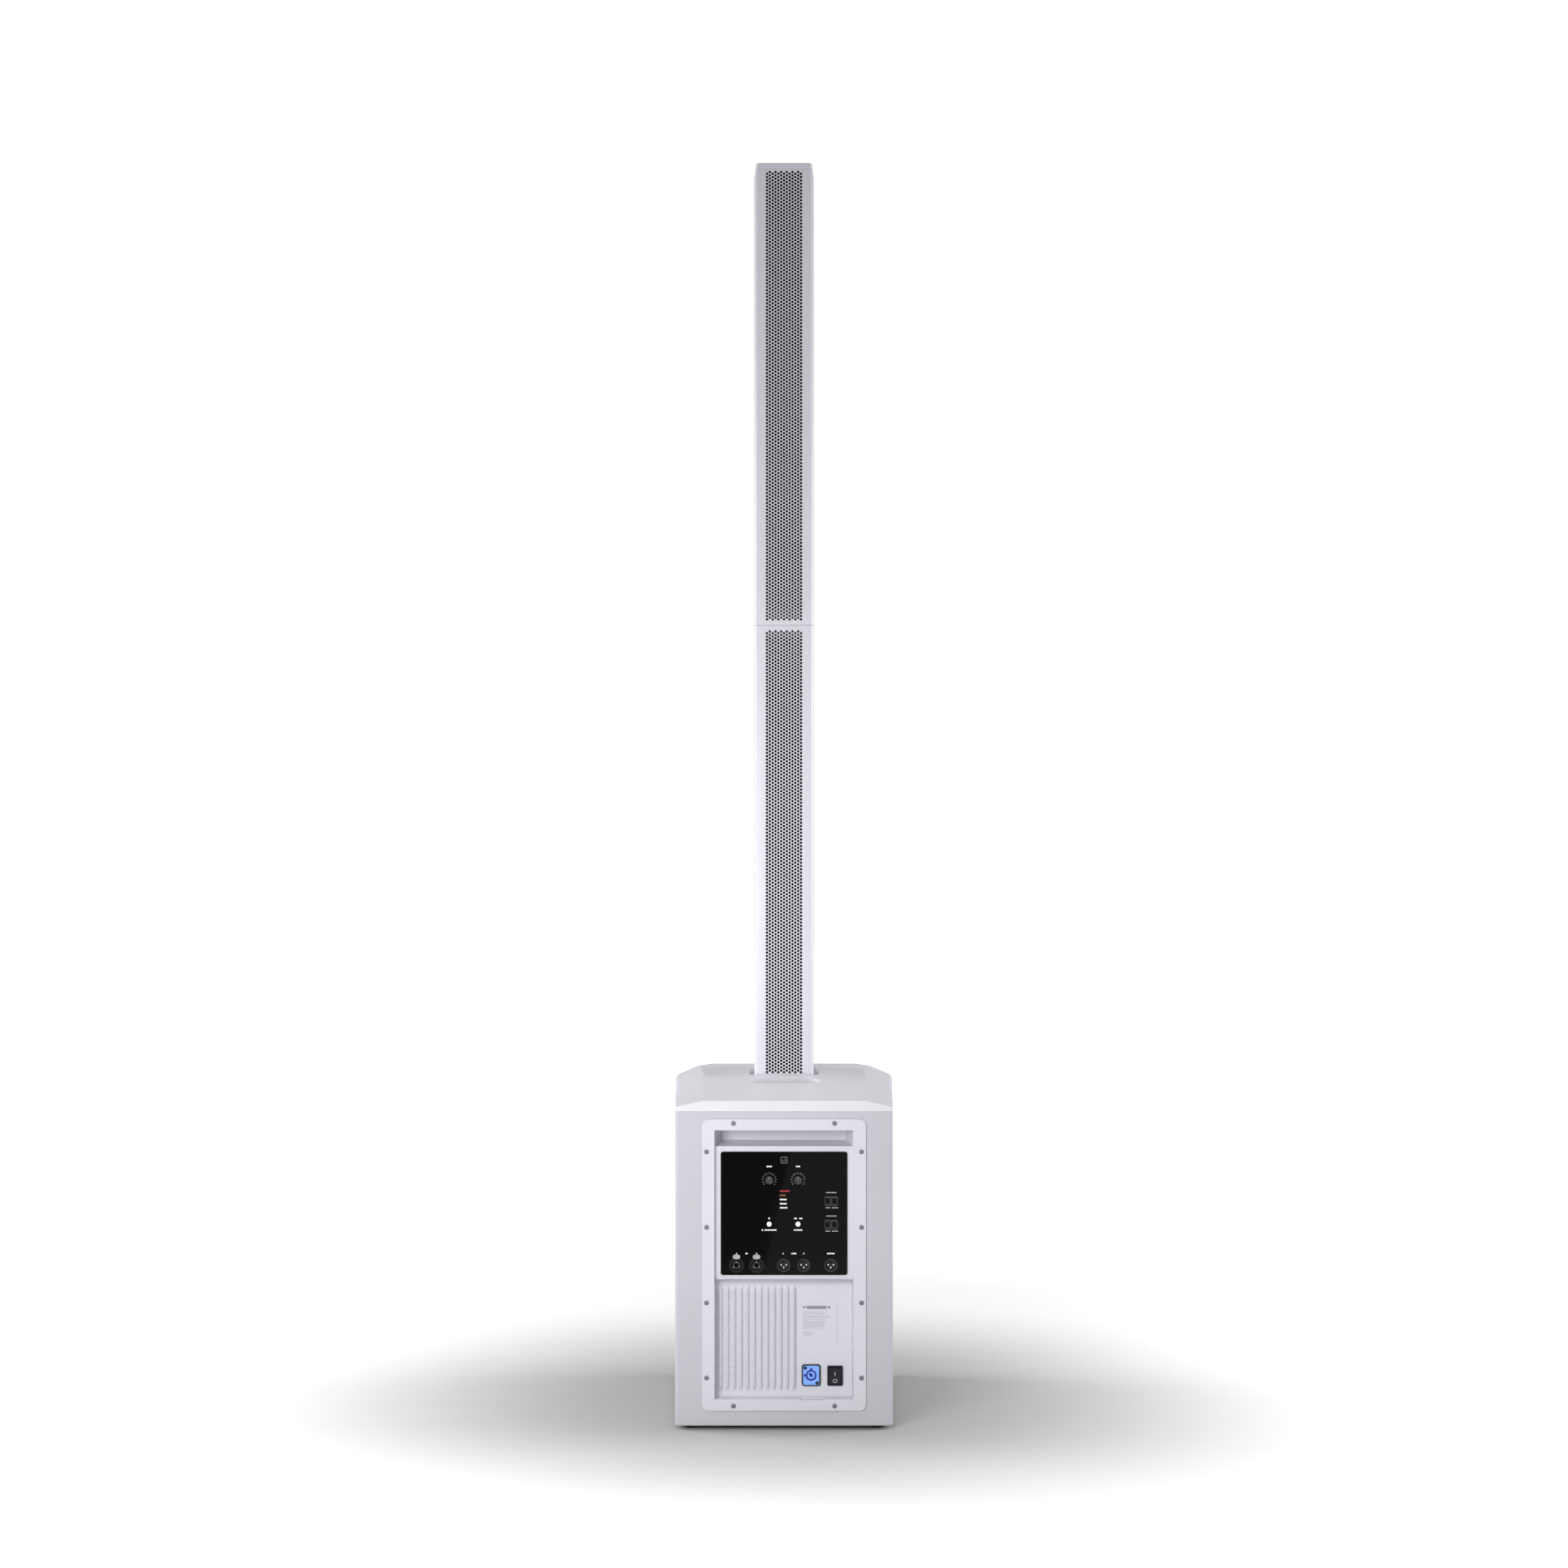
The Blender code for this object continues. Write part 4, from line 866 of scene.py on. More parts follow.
class Print:
    """Marks printed on a face: words as rows of small blocks, frames and bars."""

    def __init__(self, face_y, height):
        self.bm = bmesh.new()
        self.y = face_y - height / 2
        self.height = height

    def bar(self, x, z, width, tall, radius=0.0):
        box(self.bm, (x, self.y, z), (width, self.height, tall), radius)
        return self

    def word(self, x, z, width, blocks, tall=WORD):
        """A short row of blocks in place of lettering."""
        gap = tall * 0.22
        each = (width - gap * (blocks - 1)) / blocks
        for number in range(blocks):
            self.bar(x - width / 2 + each / 2 + number * (each + gap), z, each, tall, tall * 0.14)
        return self

    def frame(self, x, z, width, tall, line, radius):
        """A rectangular outline with round corners."""
        ring = []
        for inset in (0.0, line):
            half_x, half_z, corner = width / 2 - inset, tall / 2 - inset, max(radius - inset, line / 4)
            row = []
            for quarter, (sx, sz) in enumerate(((1, 1), (-1, 1), (-1, -1), (1, -1))):
                for step in range(5):
                    angle = (quarter + step / 4) * math.pi / 2
                    row.append((x + sx * (half_x - corner) + corner * math.cos(angle),
                                z + sz * (half_z - corner) + corner * math.sin(angle)))
            ring.append(row)
        near, far = self.y - self.height / 2, self.y + self.height / 2
        loops = [points(self.bm, [(px, y, pz) for px, pz in row])
                 for row, y in ((ring[0], far), (ring[0], near), (ring[1], near), (ring[1], far))]
        made = skin(self.bm, zip(loops, loops[1:] + loops[:1]))
        bmesh.ops.recalc_face_normals(self.bm, faces=made)
        return self

    def ring(self, x, z, outer, inner):
        turned(ring_profile(outer, inner, 0.0, self.height, self.height * 0.2),
               (x, self.y + self.height / 2, z), 40, closed=True, bm=self.bm)
        return self

    def show(self, name, material, slot="panel_black"):
        return piece(name, self.bm, material, "base")


def white_ink():
    # painted light: the white print glows at 0.25; in the level lights' windows the same glow is their lamp
    return print_ink("white print", 0.86, 0.86, 0.87, 0.25)


class PA_OT_panel(bpy.types.Operator):
    """Glossy control panel, its printed marks and its level lights"""
    bl_idname = "column_pa.panel"
    bl_label = "Control panel"

    def execute(self, context):
        tall = context.scene.pa_details.print_height
        refine("control_panel", panel_gloss(), 0.0004, 2, 40.0)
        dress(satin_black(0.0), "level_lights")
        dress(worn_metal("plated steel", 0.6, 0.3, 0), "main_level_pot", "bass_level_pot")
        panel_words(tall)
        badge(tall)
        level_lights(tall)
        return {"FINISHED"}


def panel_words(tall):
    """The words beside the knobs, buttons and sockets, then the finer ones beside the link jacks."""
    left, right = middle("main_level_knob"), middle("bass_level_knob")
    near, far = middle("pairing_button"), middle("mode_button")
    row = middle("left_output_socket").z + 0.0193
    ink = Print(PANEL_Y, tall)
    ink.word(left.x, left.z + 0.0217, 0.0088, 4).word(right.x, right.z + 0.0217, 0.0066, 3)
    ink.word(near.x, near.z + 0.0093, 0.0022, 1, 0.0030)
    ink.word(far.x - 0.0042, far.z + 0.0093, 0.0044, 2).word(far.x + 0.0046, far.z + 0.0093, 0.0052, 2)
    ink.word(near.x - 0.0112, near.z - 0.0096, 0.0018, 1, 0.0028)
    ink.word(near.x + 0.0020, near.z - 0.0096, 0.0195, 8).word(far.x, far.z - 0.0096, 0.0135, 6)
    sockets = ((middle("left_input_socket").x, 0.0013, 1), (-0.0612, 0.0034, 2),
               (middle("right_input_socket").x, 0.0016, 1), (middle("left_output_socket").x - 0.001, 0.0013, 1),
               (0.0160, 0.0078, 4), (middle("right_output_socket").x, 0.0016, 1),
               (middle("sub_output_socket").x, 0.0122, 5))
    for x, width, blocks in sockets:
        ink.word(x, row, width, blocks)
    ink.show("panel_print", white_ink())
    fine = Print(PANEL_Y, tall)
    for node in ("upper_link_jacks", "lower_link_jacks"):
        jack = middle(node)
        for across, up, width, blocks in ((0.0, 0.0140, 0.0168, 8), (-0.0056, -0.0107, 0.0074, 4),
                                          (0.0060, -0.0107, 0.0100, 5)):
            fine.word(jack.x + across, jack.z + up, width, blocks, FINE_WORD)
    # painted light: the fine print glows at 0.1 though it is no lamp
    fine.show("panel_fine_print", print_ink("fine white print", 0.45, 0.45, 0.46, 0.1))


def badge(tall):
    """A plain badge: a round-cornered square with three level bars."""
    ink = Print(PANEL_Y, tall)
    ink.frame(0.0, BADGE_Z, 0.0112, 0.0112, 0.0013, 0.0024)
    for number, reach in enumerate((0.0020, 0.0034, 0.0048)):
        ink.bar((number - 1) * 0.0019, BADGE_Z - 0.0024 + reach / 2, 0.0010, reach, 0.0003)
    ink.show("panel_badge", print_ink("grey print", 0.11, 0.11, 0.115))


def level_lights(tall):
    """Five lit windows, each with its height, width and number of blocks."""
    left = middle("control_panel").x - 0.0067
    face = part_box("level_lights")[0].y
    rows = [("top", 0.3897, 0.0160, 6, print_ink("red light", 0.40, 0.008, 0.014, 0.22)),
            ("second", 0.3828, 0.0089, 4, print_ink("orange light", 0.30, 0.10, 0.03, 0.10)),
            ("third", 0.3758, 0.0110, 4, white_ink()),
            ("fourth", 0.3689, 0.0110, 4, white_ink()),
            ("last", 0.3623, 0.0120, 5, white_ink())]
    for name, z, width, blocks, material in rows:
        lit = Print(face, tall).word(left + width / 2, z, width, blocks, 0.0023)
        lit.show("level_light_" + name, material, "light_bars")


class PA_OT_knobs(bpy.types.Operator):
    """Two ribbed knobs with their dial marks"""
    bl_idname = "column_pa.knobs"
    bl_label = "Knobs"

    def execute(self, context):
        details = context.scene.pa_details
        for body in ("main_level", "bass_level"):
            low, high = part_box(body + "_knob")
            centre = ((low.x + high.x) / 2, PANEL_Y, (low.z + high.z) / 2)
            knob(body + "_knob", centre, (high.x - low.x) / 2, PANEL_Y - low.y)
            dial(body + "_dial", centre, details)
        return {"FINISHED"}


def knob(node, centre, radius, tall):
    """A grip with fine ribs, an eased rim and a pale pointer."""
    ribs, steps, groove = 30, 4, 0.00028
    heights = [(0.0005, 1.0, 0), (0.0012, 1.0, 0), (0.0016, 0.965, 1), (tall - 0.0016, 0.975, 1),
               (tall - 0.0005, 0.965, 0), (tall, 0.925, 0), (tall - 0.0003, 0.78, 0)]
    bm = bmesh.new()
    loops = []
    for height, share, ribbed in heights:
        loop = []
        for step in range(ribs * steps):
            angle = step / (ribs * steps) * math.tau
            reach = radius * share - groove * ribbed * (0.5 - 0.5 * math.cos(angle * ribs))
            loop.append((centre[0] + reach * math.sin(angle), centre[1] - height,
                         centre[2] + reach * math.cos(angle)))
        loops.append(points(bm, loop))
    skin(bm, zip(loops, loops[1:]))
    bm.faces.new(loops[0])
    bm.faces.new(loops[-1])
    outwards(bm)
    turned([(0, 0.0005), (0.0030, 0.0005), (0.0030, -0.0095), (0, -0.0095)], centre, 24, bm=bm)
    part(node, "_grip", bm, satin_black(0.9), True)
    line = Print(centre[1] - tall + 0.0003, 0.0003)
    line.bar(centre[0], centre[2] + radius * 0.60, 0.0009, radius * 0.52, 0.0002)
    part(node, "_pointer", line.bm, print_ink("pointer", 0.35, 0.35, 0.36))


def dial(name, centre, details):
    """Marks on the panel around a knob."""
    # painted light: the dial marks glow at 0.1 though they are no lamp
    ink = print_ink("dial print", 0.42, 0.42, 0.43, 0.1)
    mark = bmesh.new()
    box(mark, (0, 0, 0), (0.00055, details.print_height, 0.0028), 0.0001)
    shape = scratch("mark", mesh_from(mark))
    mesh = run_tree(TREES["dial"], {"Shape": shape, "Count": details.dial_marks, "Radius": 0.0108,
                                    "Sweep": details.dial_sweep, "Material": ink})
    bpy.data.objects.remove(shape)
    mesh.transform(Matrix.Translation((centre[0], PANEL_Y - details.print_height / 2, centre[2])))
    piece(name, mesh, ink, "base")


class PA_OT_buttons(bpy.types.Operator):
    """Milky push buttons and the grey socket latches"""
    bl_idname = "column_pa.buttons"
    bl_label = "Buttons and latches"

    def execute(self, context):
        for node in ("pairing_button", "mode_button"):
            rise, radius = PANEL_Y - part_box(node)[0].y, 0.0038
            profile = [(0, rise), (radius * 0.35, rise - 0.00006), (radius * 0.70, rise - 0.0003),
                       (radius * 0.92, rise - 0.0008), (radius, rise - 0.0014), (radius, -0.0022),
                       (0.0050, -0.0022), (0.0050, -0.0030), (0, -0.0030)]
            part(node, "_cap", turned(profile, on_panel(node), 40), milky_button(), True)
        for node in ("left_input_latch", "right_input_latch"):
            refine(node, grey_latch(), 0.0006, 3, 40.0)
            centre = middle(node)
            rim = Print(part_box(node)[0].y, 0.0003).frame(centre.x, centre.z, 0.0098, 0.0046, 0.0005, 0.0022)
            part(node, "_rim", rim.bm, print_ink("pale latch rim", 0.62, 0.62, 0.64))
        return {"FINISHED"}


class PA_OT_sockets(bpy.types.Operator):
    """Combo inputs, three-pin outputs and modular link jacks"""
    bl_idname = "column_pa.sockets"
    bl_label = "Sockets"

    def execute(self, context):
        for node in ("left_input_socket", "right_input_socket"):
            combo(node)
        for node in ("left_output_socket", "right_output_socket", "sub_output_socket"):
            output(node)
        for node in ("upper_link_jacks", "lower_link_jacks"):
            jacks(node)
        return {"FINISHED"}


def combo(node):
    """An input socket: its turned body, three contacts and a dark ring around it."""
    at = on_panel(node)
    body = [(0, -0.0150), (0.0034, -0.0150), (0.0034, -0.0004), (0.0038, 0.0), (0.0066, 0.0),
            (0.0070, -0.0004), (0.0070, -0.0100), (0.0088, -0.0100), (0.0088, 0.0007), (0.0092, 0.0012),
            (0.0097, 0.0012), (0.0101, 0.0008), (0.0101, 0.0003), (0.0096, 0.0003), (0.0096, -0.0200),
            (0, -0.0200)]
    part(node, "_turned", turned(body, at, 56), satin_black(0.35), True)
    contacts = bmesh.new()
    contact = [(0.0013, 0.0), (0.0013, 0.0002), (0.0008, 0.0002), (0.0008, 0.0)]
    for angle in (math.radians(90), math.radians(210), math.radians(330)):
        place = (at[0] + 0.0052 * math.cos(angle), PANEL_Y, at[2] + 0.0052 * math.sin(angle))
        turned(contact, place, 16, closed=True, bm=contacts)
    part(node, "_contacts", contacts, worn_metal("nickel contact", 0.30, 0.35, 0))
    ring = turned(ring_profile(0.0120, 0.0114, 0.0, 0.0002, 0.00005), at, 64, closed=True, bm=bmesh.new())
    part(node, "_ring", ring, print_ink("dark ring", 0.022, 0.022, 0.024))


def output(node):
    """A three-pin output socket: its turned body, two rims and the pins."""
    at = on_panel(node)
    body = [(0, -0.0085), (0.0086, -0.0085), (0.0086, 0.0007), (0.0090, 0.0012), (0.0102, 0.0012),
            (0.01065, 0.0008), (0.01065, 0.0003), (0.0102, 0.0003), (0.0102, -0.0180), (0, -0.0180)]
    part(node, "_turned", turned(body, at, 56), satin_black(0.15), True)
    rims = bmesh.new()
    for outer, inner, low, high in ((0.0104, 0.0098, 0.0011, 0.00135), (0.0084, 0.0080, -0.0020, -0.0017)):
        turned(ring_profile(outer, inner, low, high, 0.00005), at, 64, closed=True, bm=rims)
    part(node, "_rims", rims, print_ink("socket rim", 0.060, 0.060, 0.065))
    pins = bmesh.new()
    pin = [(0, -0.0026), (0.0008, -0.0027), (0.00122, -0.0033), (0.00125, -0.0086), (0, -0.0086)]
    for across, up in ((-0.0043, 0), (0.0043, 0), (0, -0.0043)):
        turned(pin, (at[0] + across, PANEL_Y, at[2] + up), 24, bm=pins)
    part(node, "_pins", pins, pin_metal())


def jacks(node):
    """Two modular jacks side by side, each with its outline and eight contacts."""
    refine(node, satin_black(0.1), 0.0004, 2, 40.0)
    low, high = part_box(node)
    z = (low.z + high.z) / 2
    lines, contacts = Print(low.y, 0.00012), bmesh.new()
    for side in (0.25, 0.75):
        x = low.x + (high.x - low.x) * side
        lines.frame(x, z, 0.0102, 0.0156, 0.0005, 0.0012)
        lines.frame(x, z + 0.0013, 0.0086, 0.0110, 0.0004, 0.0003)
        lines.bar(x, z - 0.0060, 0.0040, 0.0006)
        for number in range(8):
            place = (x - 0.0036 + number * 0.00103, low.y + 0.0050, z + 0.0058)
            box(contacts, place, (0.00035, 0.0090, 0.0004))
    part(node, "_outlines", lines.bm, print_ink("jack outline", 0.030, 0.030, 0.033))
    part(node, "_contacts", contacts, worn_metal("gold contact", 0.42, 0.3, -3))


# ---- mains ----
class PA_OT_mains(bpy.types.Operator):
    """Locking mains inlet and the rocker switch"""
    bl_idname = "column_pa.mains"
    bl_label = "Mains inlet and switch"

    def execute(self, context):
        refine("inlet_surround", satin_black(0.1), 0.0005, 3, 40.0)
        refine("inlet_body", inlet_plastic(0), 0.0005, 3, 40.0)
        inlet_ring()
        refine("switch_bezel", rocker_black(), 0.0005, 3, 40.0)
        refine("switch_rocker", rocker_black(), 0.0007, 3, 30.0)
        rocker_marks()
        return {"FINISHED"}


def inlet_ring():
    """Dark ring with its two keys, and the keyed core inside it."""
    centre = middle("inlet_body")
    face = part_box("inlet_body")[0].y
    at = (centre.x, face, centre.z)
    dark = bmesh.new()
    turned(ring_profile(0.0094, 0.0067, -0.0060, -0.0006, 0.0002), at, 64, closed=True, bm=dark)
    for across, up in ((0.0, 0.0100), (-0.0098, 0.0)):
        box(dark, (centre.x + across, face + 0.0020, centre.z + up), (0.0034, 0.0016, 0.0034), 0.0008)
    core = [(0, -0.0004), (0.0024, -0.0004), (0.0026, -0.0006), (0.0026, -0.0016), (0, -0.0016)]
    turned(core, at, 40, bm=dark)
    box(dark, (centre.x - 0.0021, face + 0.0010, centre.z + 0.0021), (0.0030, 0.0012, 0.0030), 0.0006)
    piece("inlet_ring", dark, inlet_plastic(1), "base")


def rocker_marks():
    """A bar and a ring, laid over the slanted halves of the rocker."""
    centre = middle("switch_rocker")
    marks = Print(0.0, 0.0002).bar(0.0, 0.0030, 0.0012, 0.0056, 0.0002).ring(0.0, -0.0086, 0.0033, 0.0024)
    face = frame["nodes"]["switch_rocker"].data
    for vertex in marks.bm.verts:
        z = centre.z + vertex.co.z
        vertex.co = Vector((centre.x + vertex.co.x, rear_surface(face, centre.x, z) + vertex.co.y, z))
    piece("rocker_marks", marks.bm, print_ink("rocker print", 0.62, 0.62, 0.64), "rocker")


def rear_surface(mesh, x, z):
    """Where a line through (x, z) first meets a mesh, coming from the rear."""
    mesh.calc_loop_triangles()
    slack = 1e-6
    met = []
    for triangle in mesh.loop_triangles:
        a, b, c = (mesh.vertices[i].co for i in triangle.vertices)
        area = (b.x - a.x) * (c.z - a.z) - (c.x - a.x) * (b.z - a.z)
        if abs(area) < 1e-12:
            continue
        second = ((x - a.x) * (c.z - a.z) - (c.x - a.x) * (z - a.z)) / area
        third = ((b.x - a.x) * (z - a.z) - (x - a.x) * (b.z - a.z)) / area
        if min(second, third) >= -slack and second + third <= 1 + slack:
            met.append(a.y + second * (b.y - a.y) + third * (c.y - a.y))
    if not met:
        raise RuntimeError("no surface under a mark")
    return min(met)


LABEL_X = 0.0535            # middle of the label's heading
LABEL_LEFT = 0.0310
SIGNS_X = 0.0877            # column of small signs beside the label
LABEL_LINES = ((0.1890, 0.032), (0.1868, 0.036), (0.1830, 0.044), (0.1806, 0.044), (0.1775, 0.036),
               (0.1738, 0.038), (0.1718, 0.036), (0.1696, 0.037), (0.1674, 0.034), (0.1652, 0.035),
               (0.1630, 0.030), (0.1560, 0.016), (0.1535, 0.019), (0.1510, 0.014))


class PA_OT_label(bpy.types.Operator):
    """Plain rating label: bars and lines with no words on them"""
    bl_idname = "column_pa.label"
    bl_label = "Rating label"

    def execute(self, context):
        tall = context.scene.pa_details.print_height
        dark = Print(RECESS_Y, tall).bar(LABEL_X, 0.1968, 0.0325, 0.0048, 0.0003)
        for x in (0.0332, 0.0738):
            dark.bar(x, 0.1972, 0.0044, 0.0036, 0.0006)
        dark.show("label_bar", print_ink("label grey", 0.26, 0.26, 0.30), "white_plate")
        faint = Print(RECESS_Y, tall).frame(LABEL_X, 0.1992, 0.0330, 0.0098, 0.0003, 0.0004)
        for z, width in LABEL_LINES:
            faint.word(LABEL_LEFT + width / 2, z, width, max(2, round(width / 0.004)), 0.0009)
        for number in range(9):
            z = 0.2010 - number * 0.0073
            if number % 3 == 1:
                faint.ring(SIGNS_X, z, 0.0022, 0.0017)
            else:
                faint.frame(SIGNS_X, z, 0.0046, 0.0040, 0.0005, 0.0006)
        faint.show("label_lines", print_ink("label faint grey", 0.46, 0.46, 0.52), "white_plate")
        return {"FINISHED"}


# ---- column ----
GAP = 0.0003                # that the frame leaves around a sheet in its window


def crown(x):
    """How far the column's front draws back at a distance from its middle."""
    return 0.0075 * (x / 0.044) ** 2


class PA_OT_column(bpy.types.Operator):
    """Column shells, perforated backs and fronts, and the top cap"""
    bl_idname = "column_pa.column"
    bl_label = "Column"

    def execute(self, context):
        sheets = context.scene.pa_sheets
        for prefix in ("lower", "upper"):
            refine(prefix + "_shell", column_coat(), 0.0006, 2, 50.0, 50.0)
            column_back(prefix, sheets)
            column_front(prefix, sheets)
            dress(acoustic_foam(), prefix + "_rear_foam")
            dress(cone_paper(), prefix + "_driver_array")
            dress(satin_black(0.4), prefix + "_plug_plate")
        dress(satin_black(0.4), "lower_top_plate")
        dress(satin_black(0.2), "upper_waveguide")
        dress(worn_metal("driver steel", 0.20, 0.45, 0), "low_tweeter", "high_tweeter")
        refine("upper_top_cap", column_coat(), 0.0012, 3, 28.0, 50.0)
        return {"FINISHED"}


def column_sheet(node, name, size, sheets, bend=None, place=None):
    """A column's perforated sheet in place of its plain one."""
    mesh = perforated(*size, sheets.column_pitch, sheets.column_hole, sheets.thickness, column_coat(), bend)
    if place:
        mesh.transform(Matrix.Translation(place))
    prefix = node.split("_")[0]
    piece(prefix + name, mesh, column_coat(), prefix + "_column", (node,))


def column_back(prefix, sheets):
    """The rear sheet, which fills its window edge to edge."""
    node = prefix + "_rear_grille"
    low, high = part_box(node)
    size = (high.x - low.x + 2 * GAP, high.z - low.z + 2 * GAP)
    column_sheet(node, "_rear_sheet", size, sheets, place=(0, low.y, (low.z + high.z) / 2))


def column_front(prefix, sheets):
    """The crowned front sheet, with foam behind it."""
    node = prefix + "_front_grille"
    low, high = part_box(node)
    centre = Vector((0, high.y, (low.z + high.z) / 2))

    def bent(point):
        return Vector((-point.x, -point.y - crown(point.x), point.z)) + centre

    column_sheet(node, "_front_sheet", (high.x - low.x, high.z - low.z), sheets, bent)
    foam = bmesh.new()
    xs = [high.x * step / 8 for step in range(-8, 9)]
    near, far = 0.0016, 0.0040
    rows = [points(foam, [(x, high.y - crown(x) - depth, z) for x in xs])
            for depth, z in ((near, low.z), (near, high.z), (far, high.z), (far, low.z))]
    skin(foam, zip(rows, rows[1:] + rows[:1]), around=False)
    for end in (0, -1):
        foam.faces.new([row[end] for row in rows])
    piece(prefix + "_front_foam", outwards(foam), acoustic_foam(), prefix + "_column")


NOSE_HALF_WIDTH = 0.150     # flat middle of the front grille


class PA_OT_front(bpy.types.Operator):
    """The base's folded front grille, its foam and the woofer behind"""
    bl_idname = "column_pa.front"
    bl_label = "Front grille and woofer"

    def execute(self, context):
        front_sheet(context.scene.pa_sheets)
        front_foam()
        dress(worn_metal("painted steel", 0.05, 0.5, 0), "woofer_basket")
        dress(worn_metal("ferrite", 0.06, 0.6, 0), "woofer_magnet")
        dress(cone_paper(), "woofer_cone")
        dress(foot_rubber(), "woofer_surround")
        dress(worn_metal("copper wire", 0.45, 0.3, -8), "woofer_voice_coil")
        dress(satin_black(0.3), "left_port_tube", "right_port_tube")
        dress(circuit_mask(), "control_board", "amplifier_board", "power_supply_board")
        dress(worn_metal("rolled aluminium", 0.7, 0.35, 0), "heat_spreader")
        return {"FINISHED"}


def front_sheet(sheets):
    """The perforated sheet, folded over the flat nose and its two slanted sides."""
    low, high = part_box("sub_grille")
    nose, wide, depth = NOSE_HALF_WIDTH, high.x, high.y - low.y
    side = math.hypot(wide - nose, depth)

    def folded(point):
        across = abs(point.x)
        past = max(0.0, across - nose)
        x = min(across, nose) + past * (wide - nose) / side
        return Vector((-math.copysign(x, point.x), high.y - past * depth / side,
                       point.z + (low.z + high.z) / 2))

    mesh = perforated(2 * (nose + side), high.z - low.z, sheets.base_pitch, sheets.base_hole,
                      sheets.thickness, cabinet_paint(), folded)
    piece("base_front_sheet", mesh, cabinet_paint(), "base", ("sub_grille",))


def front_foam():
    """Foam close behind the folded sheet."""
    low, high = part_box("sub_grille")
    nose, wide = NOSE_HALF_WIDTH, high.x
    near, far = high.y - 0.0022, high.y - 0.006
    outline = [(-wide + 0.002, low.y), (-nose, near), (nose, near), (wide - 0.002, low.y),
               (wide - 0.006, low.y), (nose - 0.001, far), (-nose + 0.001, far), (-wide + 0.006, low.y)]
    foam = bmesh.new()
    ends = [points(foam, [(x, y, z) for x, y in outline]) for z in (low.z + 0.001, high.z - 0.001)]
    skin(foam, [ends])
    for end in ends:
        foam.faces.new(end)
    piece("base_front_foam", outwards(foam), acoustic_foam(), "base")


# ---- stage ----
class PA_OT_stage(bpy.types.Operator):
    """Pale floor, soft studio light and the camera"""
    bl_idname = "column_pa.stage"
    bl_label = "Stage"

    def execute(self, context):
        scene, stage = context.scene, context.scene.pa_stage
        scene.view_settings.view_transform = "Standard"
        studio_floor()
        studio_room(scene, stage.room)
        lamp("key light", (-0.60, REAR_Y - 1.5, 0.80), (0.0, REAR_Y, 0.65), (0.8, 0.8), stage.key)
        for side in (-1.0, 1.0):
            lamp("side light", (side * 2.3, 0.30 - side * 0.18, 1.25), (0.0, 0.0, 0.2), (1.0, 1.2), stage.sides)
        lamp("panel glow", (0.145, REAR_Y - 1.0, 0.235), (0.145, REAR_Y, 0.235), (0.30, 0.44), stage.glow,
             math.radians(-12.9))
        camera = bpy.data.cameras.new("Camera")
        camera.lens = stage.lens
        camera.sensor_width = 36.0
        eye = scratch("Camera", camera)
        eye.location = (0.0, REAR_Y - stage.distance, stage.height)
        eye.rotation_euler = (math.pi / 2, 0.0, 0.0)
        scene.camera = eye
        return {"FINISHED"}


def studio_floor():
    bm = bmesh.new()
    bmesh.ops.create_grid(bm, x_segments=2, y_segments=2, size=14.0)
    ground = scratch("studio_floor", mesh_from(bm))
    ground.data.materials.append(floor_paper())


def studio_room(scene, strength):
    """Soft light from all round, strongest from overhead; the backdrop itself shows pure white."""
    world = bpy.data.worlds.new("Studio")
    scene.world = world
    world.use_nodes = True
    graph = Graph(world.node_tree)
    up = graph.parts(graph.add("ShaderNodeTexCoord", output="Generated"))[2]
    seen = graph.add("ShaderNodeLightPath", output="Is Camera Ray")
    soft = (0.16 + graph.number("MAXIMUM", up, 0.0)) * strength
    background = world.node_tree.nodes["Background"]
    background.inputs["Color"].default_value = (*WHITE, 1.0)
    graph.plug(background.inputs["Strength"], soft + seen * (1.0 - soft))


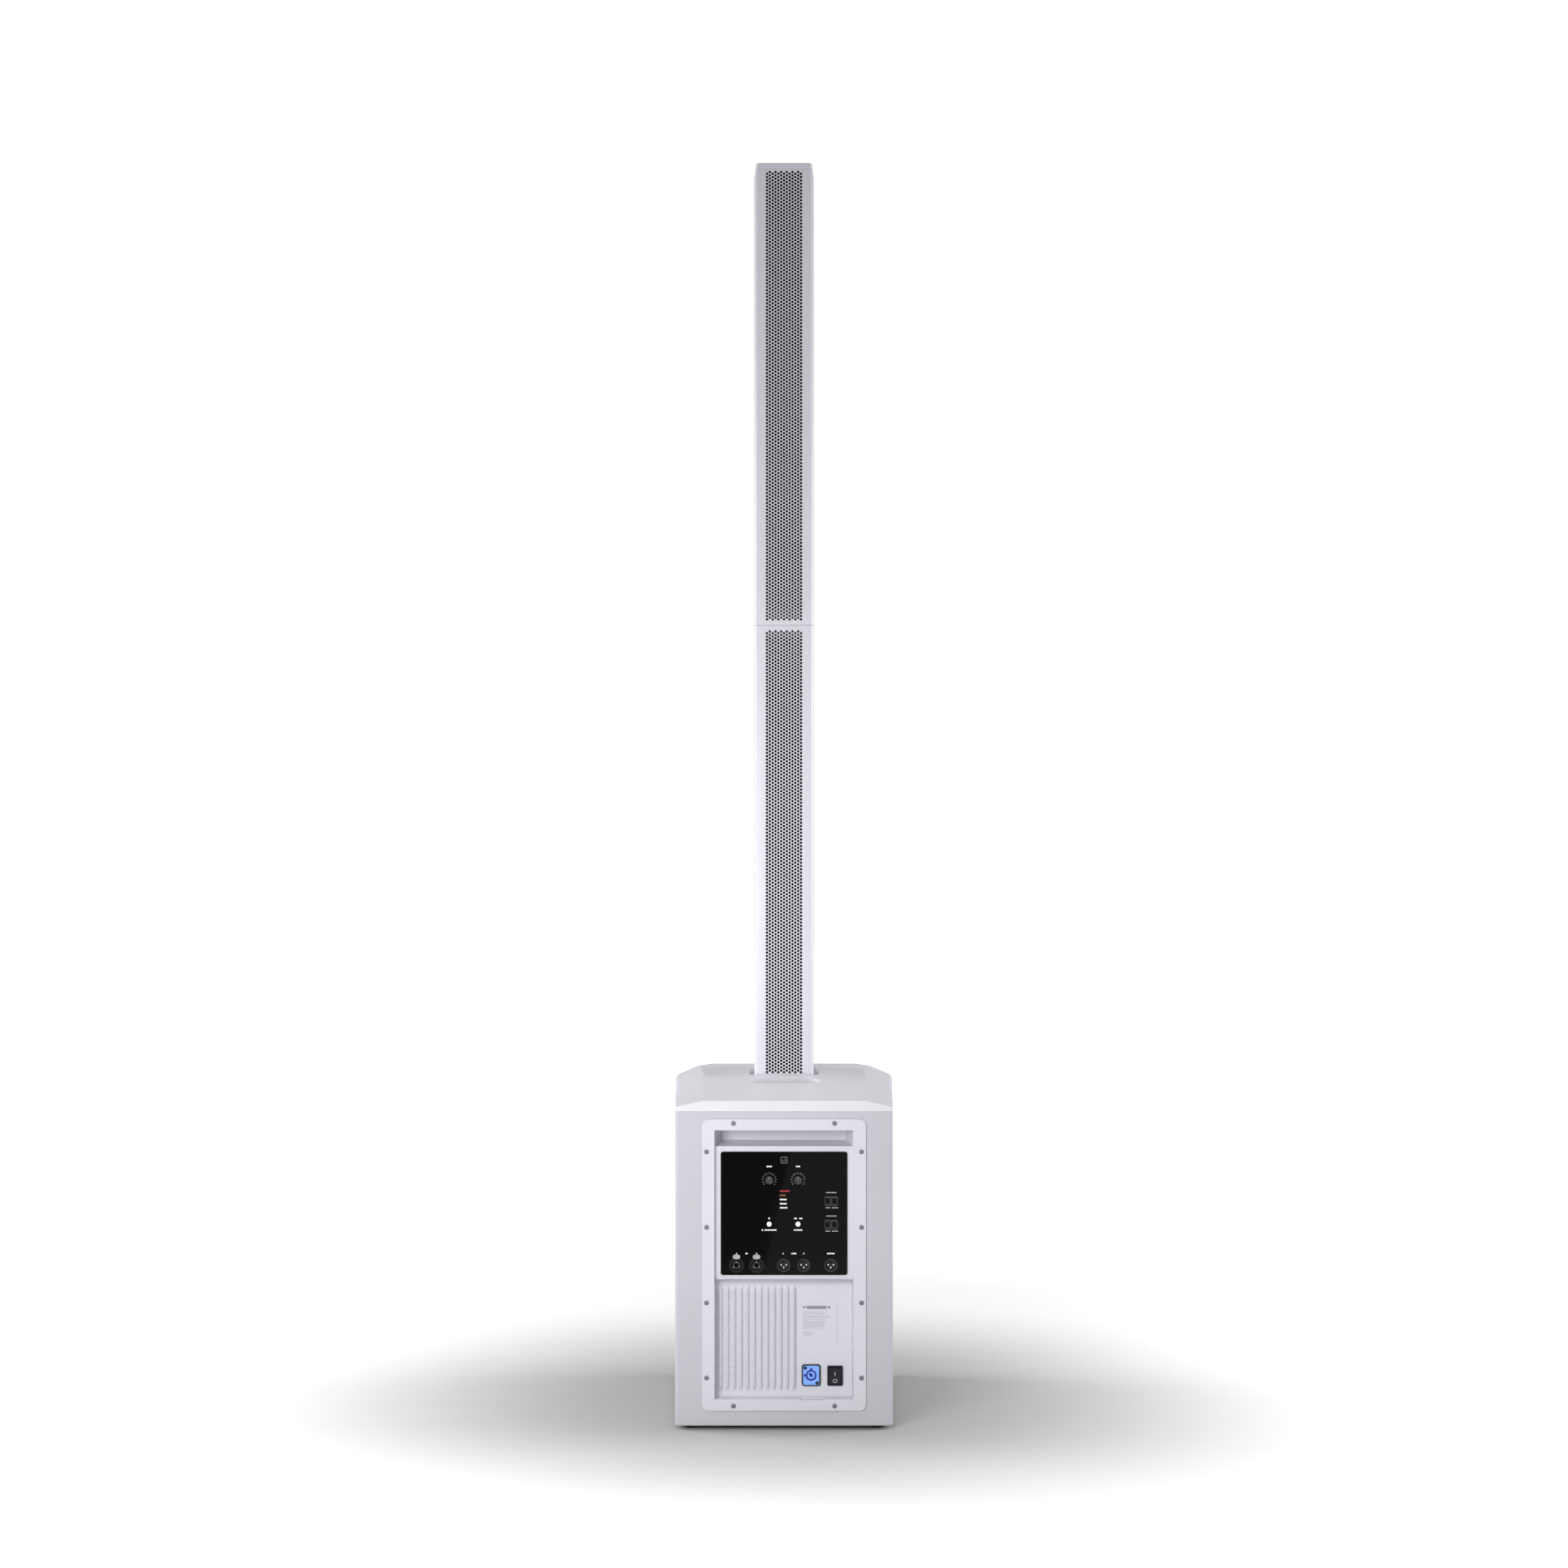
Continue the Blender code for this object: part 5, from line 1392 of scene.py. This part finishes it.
def lamp(name, place, target, size, power, roll=0.0):
    """A soft lamp that the camera doesn't see, aimed at a point."""
    light = bpy.data.lights.new(name, "AREA")
    light.shape = "RECTANGLE"
    light.size, light.size_y = size
    light.energy = power
    made = scratch(name, light)
    made.location = place
    aim = (Vector(target) - Vector(place)).to_track_quat("-Z", "Y")
    made.rotation_euler = (aim.to_matrix() @ Matrix.Rotation(roll, 3, "Z")).to_euler()
    made.visible_camera = False


# ---- panel and registration ----
OPERATORS = (PA_OT_cabinet, PA_OT_cover, PA_OT_plate, PA_OT_screws, PA_OT_panel, PA_OT_knobs, PA_OT_buttons,
             PA_OT_sockets, PA_OT_mains, PA_OT_label, PA_OT_column, PA_OT_front, PA_OT_stage)
GROUPS = {"pa_colours": PAColours, "pa_sheets": PASheets, "pa_details": PADetails, "pa_stage": PAStage}


class PA_PT_pieces(bpy.types.Panel):
    """Sizes, colours and the pieces to build"""
    bl_idname = "PA_PT_pieces"
    bl_label = "Column PA System"
    bl_space_type = "VIEW_3D"
    bl_region_type = "UI"
    bl_category = "Column PA"

    def draw(self, context):
        for group in GROUPS:
            settings = getattr(context.scene, group)
            rows = self.layout.box()
            for name in settings.__annotations__:
                rows.prop(settings, name)
        for operator in OPERATORS:
            self.layout.operator(operator.bl_idname)


def register():
    for group in GROUPS.values():
        bpy.utils.register_class(group)
    for name, group in GROUPS.items():
        setattr(bpy.types.Scene, name, bpy.props.PointerProperty(type=group))
    for operator in OPERATORS:
        bpy.utils.register_class(operator)
    bpy.utils.register_class(PA_PT_pieces)


def unregister():
    bpy.utils.unregister_class(PA_PT_pieces)
    for operator in reversed(OPERATORS):
        bpy.utils.unregister_class(operator)
    for name, group in GROUPS.items():
        delattr(bpy.types.Scene, name)
        bpy.utils.unregister_class(group)


def main():
    """Build every piece, then the stage."""
    register()
    TREES.update(perforation=perforation_tree(), fasteners=fastener_tree(), dial=dial_tree(), ribs=rib_tree())
    for operator in OPERATORS:
        category, name = operator.bl_idname.split(".")
        getattr(getattr(bpy.ops, category), name)()


if __name__ == "__main__":
    main()
